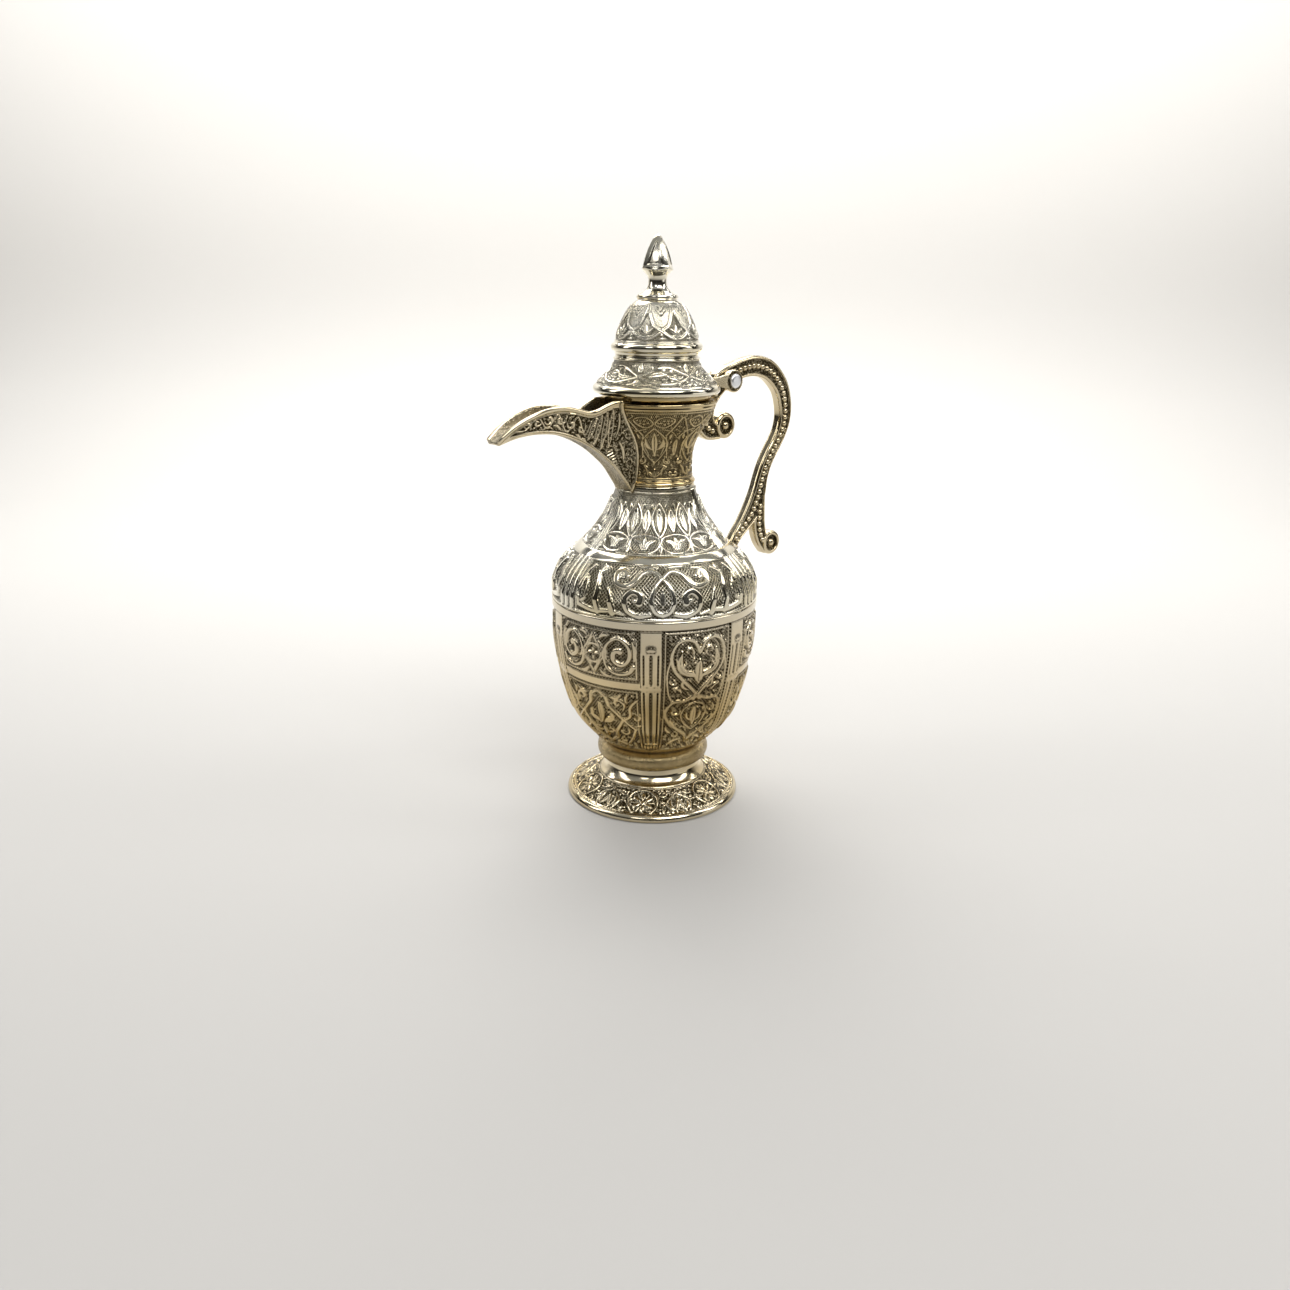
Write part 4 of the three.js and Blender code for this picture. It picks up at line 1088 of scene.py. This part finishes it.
def surface_net(values, origin, step):
    """Quads round the negative part of a sampled field, closed where it meets the border."""
    for axis in range(3):
        np.moveaxis(values, axis, 0)[[0, -1]] = 1.0
    inside = values < 0
    cells = np.zeros(tuple(n - 1 for n in values.shape), np.int8)
    shape = cells.shape
    corners = [(a, b, c) for a in (0, 1) for b in (0, 1) for c in (0, 1)]
    for a, b, c in corners:
        cells += inside[a:a + shape[0], b:b + shape[1], c:c + shape[2]]
    active = (cells > 0) & (cells < 8)
    index = np.full(shape, -1)
    index[active] = np.arange(active.sum())
    cell = np.stack(np.nonzero(active), -1)
    total, hits = np.zeros(cell.shape), np.zeros(len(cell))
    for axis in range(3):
        unit = np.eye(3, dtype=int)[axis]
        for corner in corners:
            if corner[axis]:
                continue
            start = cell + corner
            v0, v1 = values[tuple(start.T)], values[tuple((start + unit).T)]
            cross = (v0 < 0) != (v1 < 0)
            share = np.where(cross, v0 / np.where(cross, v0 - v1, 1), 0)
            total += np.where(cross[:, None], start + share[:, None] * unit, 0)
            hits += cross
    verts = origin + step * total / hits[:, None]
    faces = []
    for axis in range(3):
        u, v = (axis + 1) % 3, (axis + 2) % 3
        first = np.moveaxis(inside, (axis, u, v), (0, 1, 2))
        grid = np.moveaxis(index, (axis, u, v), (0, 1, 2))
        starts = first[:-1, 1:-1, 1:-1]
        change = starts != first[1:, 1:-1, 1:-1]
        i, j, k = np.nonzero(change)
        ring = [grid[i, j + b, k + c] for b, c in ((0, 0), (1, 0), (1, 1), (0, 1))]
        quad = np.stack(ring, -1)
        flip = ~starts[i, j, k]
        quad[flip] = quad[flip][:, ::-1]
        faces.append(quad)
    return verts, np.vstack(faces)


def bead_places(stroke, start, stop):
    """Where the beads sit along a stroke, from start after its head to stop before its end."""
    line = bend(stroke)
    length = arc_length(line)
    spots = np.arange(start, length[-1] - stop, BEAD_PITCH)
    return np.column_stack([np.interp(spots, length, line[:, k]) for k in (0, 1)])


def nearest(x, z, places):
    """The distance from each point to the nearest of the places."""
    return np.min([np.hypot(x - place[0], z - place[1]) for place in places], axis=0)


def make_handle():
    """A flat bar with a sunk, beaded lane on each side, and a bossed well in each volute."""
    step = 0.26 / FINENESS
    low = (17.0, -3.9, 86.0)
    x, z, ys, field = sample_box(low, (75.2, 3.9, 177.4), step)
    strokes = [stroke for stroke, _, _ in BEADED]
    depth = union_depth(x, z, strokes, VOLUTES)
    knuckle = KNUCKLE_RADIUS - nearest(x, z, [(PIN_X, PIN_Z)])
    in_body = wall_radius(z) - 0.35 - x
    bead_gap = nearest(x, z, np.vstack([bead_places(*beaded) for beaded in BEADED]))
    volute_gap = nearest(x, z, VOLUTES)
    for j, y in enumerate(ys):
        far = abs(y)
        lane = np.minimum(depth - LANE_EDGE, far - LANE_FLOOR)
        lane = np.where(volute_gap < 5.0, -9, lane)
        f = np.maximum(soft_box(depth, far - HALF_THICKNESS, 1.25), lane * 0.9)
        f = np.maximum(f, np.minimum(VOLUTE_WELL - volute_gap, far - 1.1))
        f = np.minimum(f, np.hypot(volute_gap, far - 1.0) - VOLUTE_EYE)
        f = np.minimum(f, np.hypot(bead_gap, far - LANE_FLOOR) - BEAD_RADIUS)
        f = np.minimum(f, soft_box(knuckle, far - KNUCKLE_HALF, 0.4))
        field[:, j] = np.maximum(f, in_body)
    verts, faces = surface_net(field, low, step)
    x, y, z = verts.T
    patina_and_shade = smooth(1.0, 1.5, union_depth(x, z, strokes, VOLUTES))
    patina_and_shade = patina_and_shade * (1 - smooth(1.55, 1.85, np.abs(y)))
    add_piece("scroll_handle", "pot", verts, faces, CHAMPAGNE, ["handle"], patina_and_shade)


def make_ears():
    """The two arms of the lid that carry the hinge pin, each with a sunk ring round its hole."""
    step = 0.2 / FINENESS
    low = (19.0, -6.6, 161.0)
    x, z, ys, field = sample_box(low, (41.2, 6.6, 171.6), step)
    arm = union_depth(x, z, [[(20.4, 166.4, 1.5), (28.0, 166.5, 1.9), (31.5, PIN_Z, 2.6)]],
                      [(PIN_X, PIN_Z, EAR_RADIUS)])
    groove = 0.62 - np.abs(nearest(x, z, [(PIN_X, PIN_Z)]) - EAR_GROOVE)
    for j, y in enumerate(ys):
        f = soft_box(arm, abs(abs(y) - EAR_MIDDLE) - EAR_HALF, 0.35)
        f = np.maximum(f, np.minimum(groove, abs(y) - 5.1))
        field[:, j] = np.maximum(f, 20.4 - np.hypot(x, y))
    verts, faces = surface_net(field, low, step)
    x, y, z = verts.T
    off_groove = np.abs(nearest(x, z, [(PIN_X, PIN_Z)]) - 3.2)
    # The groove round the pin is darkened, and the arm nearer the lid, below X 33, to 0.35.
    patina_and_shade = np.maximum(1 - smooth(0.45, 0.9, off_groove), 0.35 * (x < 33))
    add_piece("lid_ears", "lid", verts, faces, CHAMPAGNE, patina_and_shade=patina_and_shade)


def make_pin():
    """A straight pin with two domed, burnished heads."""
    head = bend([(0.02, -6.8), (1.6, -6.7), (2.4, -6.45), (2.75, -6.05), (2.8, -5.6), (2.7, -5.2)])
    shank = [(1.5, -5.15), (1.5, 5.15)]
    outline = np.vstack([head, shank, head[::-1] * (1, -1)])
    columns = 72
    angle = 2 * math.pi * np.arange(columns)[None] / columns
    r, y = outline[:, :1], outline[:, 1:]
    verts = np.stack([PIN_X + r * np.cos(angle), y + 0 * angle, PIN_Z + r * np.sin(angle)], -1)
    add_piece("hinge_rivet", "lid", verts.reshape(-1, 3), capped_tube(len(outline), columns),
              PIN, ["hinge_pin"])


# ---------------------------------------------------------------- assembly

for make in (make_foot, make_stem_collar, make_bowl, make_shoulder, make_neck, make_spout,
             make_handle, make_lid, make_ears, make_finial, make_pin):
    make()
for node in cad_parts.values():
    if not node.hide_render:
        node.data.materials.clear()
        node.data.materials.append(STEEL)


# ---------------------------------------------------------------- studio


CAMERA_PLACE = (-0.2752, -0.3225, 0.2042)  # metres
CAMERA_TURN, CAMERA_DIP, CAMERA_ROLL = 40.0, 18.456, 0.468


def plain(name, colour, roughness):
    material = bpy.data.materials.new(name)
    material.use_nodes = True
    shader = material.node_tree.nodes["Principled BSDF"]
    shader.inputs["Base Color"].default_value = (*colour, 1.0)
    shader.inputs["Roughness"].default_value = roughness
    return material


def make_backdrop():
    """A pale floor that sweeps up into a wall behind the pot, as the camera sees it."""
    reach = 1600
    line = bend([(-reach, 0), (0, 0), (430, 0), (590, 14), (700, 62), (760, 150), (775, 300),
                 (775, 560)])
    away, across = direction(90 - CAMERA_TURN), direction(-CAMERA_TURN)
    verts = [(*(out * away + side * across), z) for out, z in line for side in (-reach, reach)]
    faces = grid_faces(len(line), 2, False, False)[:, ::-1]
    backdrop = plain("backdrop", (0.47, 0.455, 0.43), 0.8)
    add_mesh("backdrop", verts, faces, backdrop)


def add_light(name, azimuth, elevation, distance, size, radiance, target=(0, 0, 0.11)):
    """Lengths are metres."""
    a, e = math.radians(azimuth), math.radians(elevation)
    back = np.array([math.sin(a) * math.cos(e), -math.cos(a) * math.cos(e), math.sin(e)])
    data = bpy.data.lights.new(name, "AREA")
    data.shape = "RECTANGLE"
    data.size, data.size_y = size
    data.energy = radiance * math.pi * size[0] * size[1]
    turn = Matrix.Rotation(a, 4, "Z") @ Matrix.Rotation(math.pi / 2 - e, 4, "X")
    add_object(name, data).matrix_world = Matrix.Translation(back * distance + target) @ turn


def make_world():
    """A dim room, brighter overhead."""
    world = bpy.data.worlds.new("studio")
    world.use_nodes = True
    nodes, links = world.node_tree.nodes, world.node_tree.links
    sky = nodes["Background"]
    place = nodes.new("ShaderNodeTexCoord")
    split = nodes.new("ShaderNodeSeparateXYZ")
    ramp = nodes.new("ShaderNodeValToRGB")
    stops = ((0.35, (0.05, 0.048, 0.044, 1)), (0.95, (0.75, 0.78, 0.82, 1)))
    for element, (position, colour) in zip(ramp.color_ramp.elements, stops):
        element.position, element.color = position, colour
    links.new(place.outputs["Generated"], split.inputs[0])
    links.new(split.outputs["Z"], ramp.inputs["Fac"])
    links.new(ramp.outputs["Color"], sky.inputs["Color"])
    sky.inputs["Strength"].default_value = 0.5
    bpy.context.scene.world = world


def make_camera():
    """Stands 40 degrees round towards the spout and looks down on the pot."""
    data = bpy.data.cameras.new("camera")
    data.sensor_width, data.lens = 36.0, 30.5581
    camera = add_object("camera", data)
    heading = Matrix.Rotation(math.radians(-CAMERA_TURN), 4, "Z")
    pitch = Matrix.Rotation(math.radians(90 - CAMERA_DIP), 4, "X")
    roll = Matrix.Rotation(math.radians(CAMERA_ROLL), 4, "Z")
    place = Matrix.Translation(CAMERA_PLACE)
    camera.matrix_world = place @ heading @ pitch @ roll
    bpy.context.scene.camera = camera


make_backdrop()
make_world()
add_light("key", -8, 50, 1.05, (0.66, 0.38), 7.8)
add_light("left", -125, 34, 0.9, (0.2, 0.7), 3.6)
add_light("right", 52, 38, 1.0, (0.22, 0.6), 4.4)
add_light("back", 148, 42, 0.95, (0.6, 0.3), 7.0)
add_light("top", 150, 62, 0.95, (0.9, 0.4), 4.2)
add_light("front", -62, 40, 1.1, (0.26, 0.22), 4.0)
add_light("card", 42, 3, 0.9, (0.5, 0.24), 1.0)
add_light("wall", -40, 55, 0.5, (1.8, 0.3), 5.2, (0.49, 0.58, 0.2))
make_camera()
bpy.context.scene.view_settings.view_transform = "Standard"
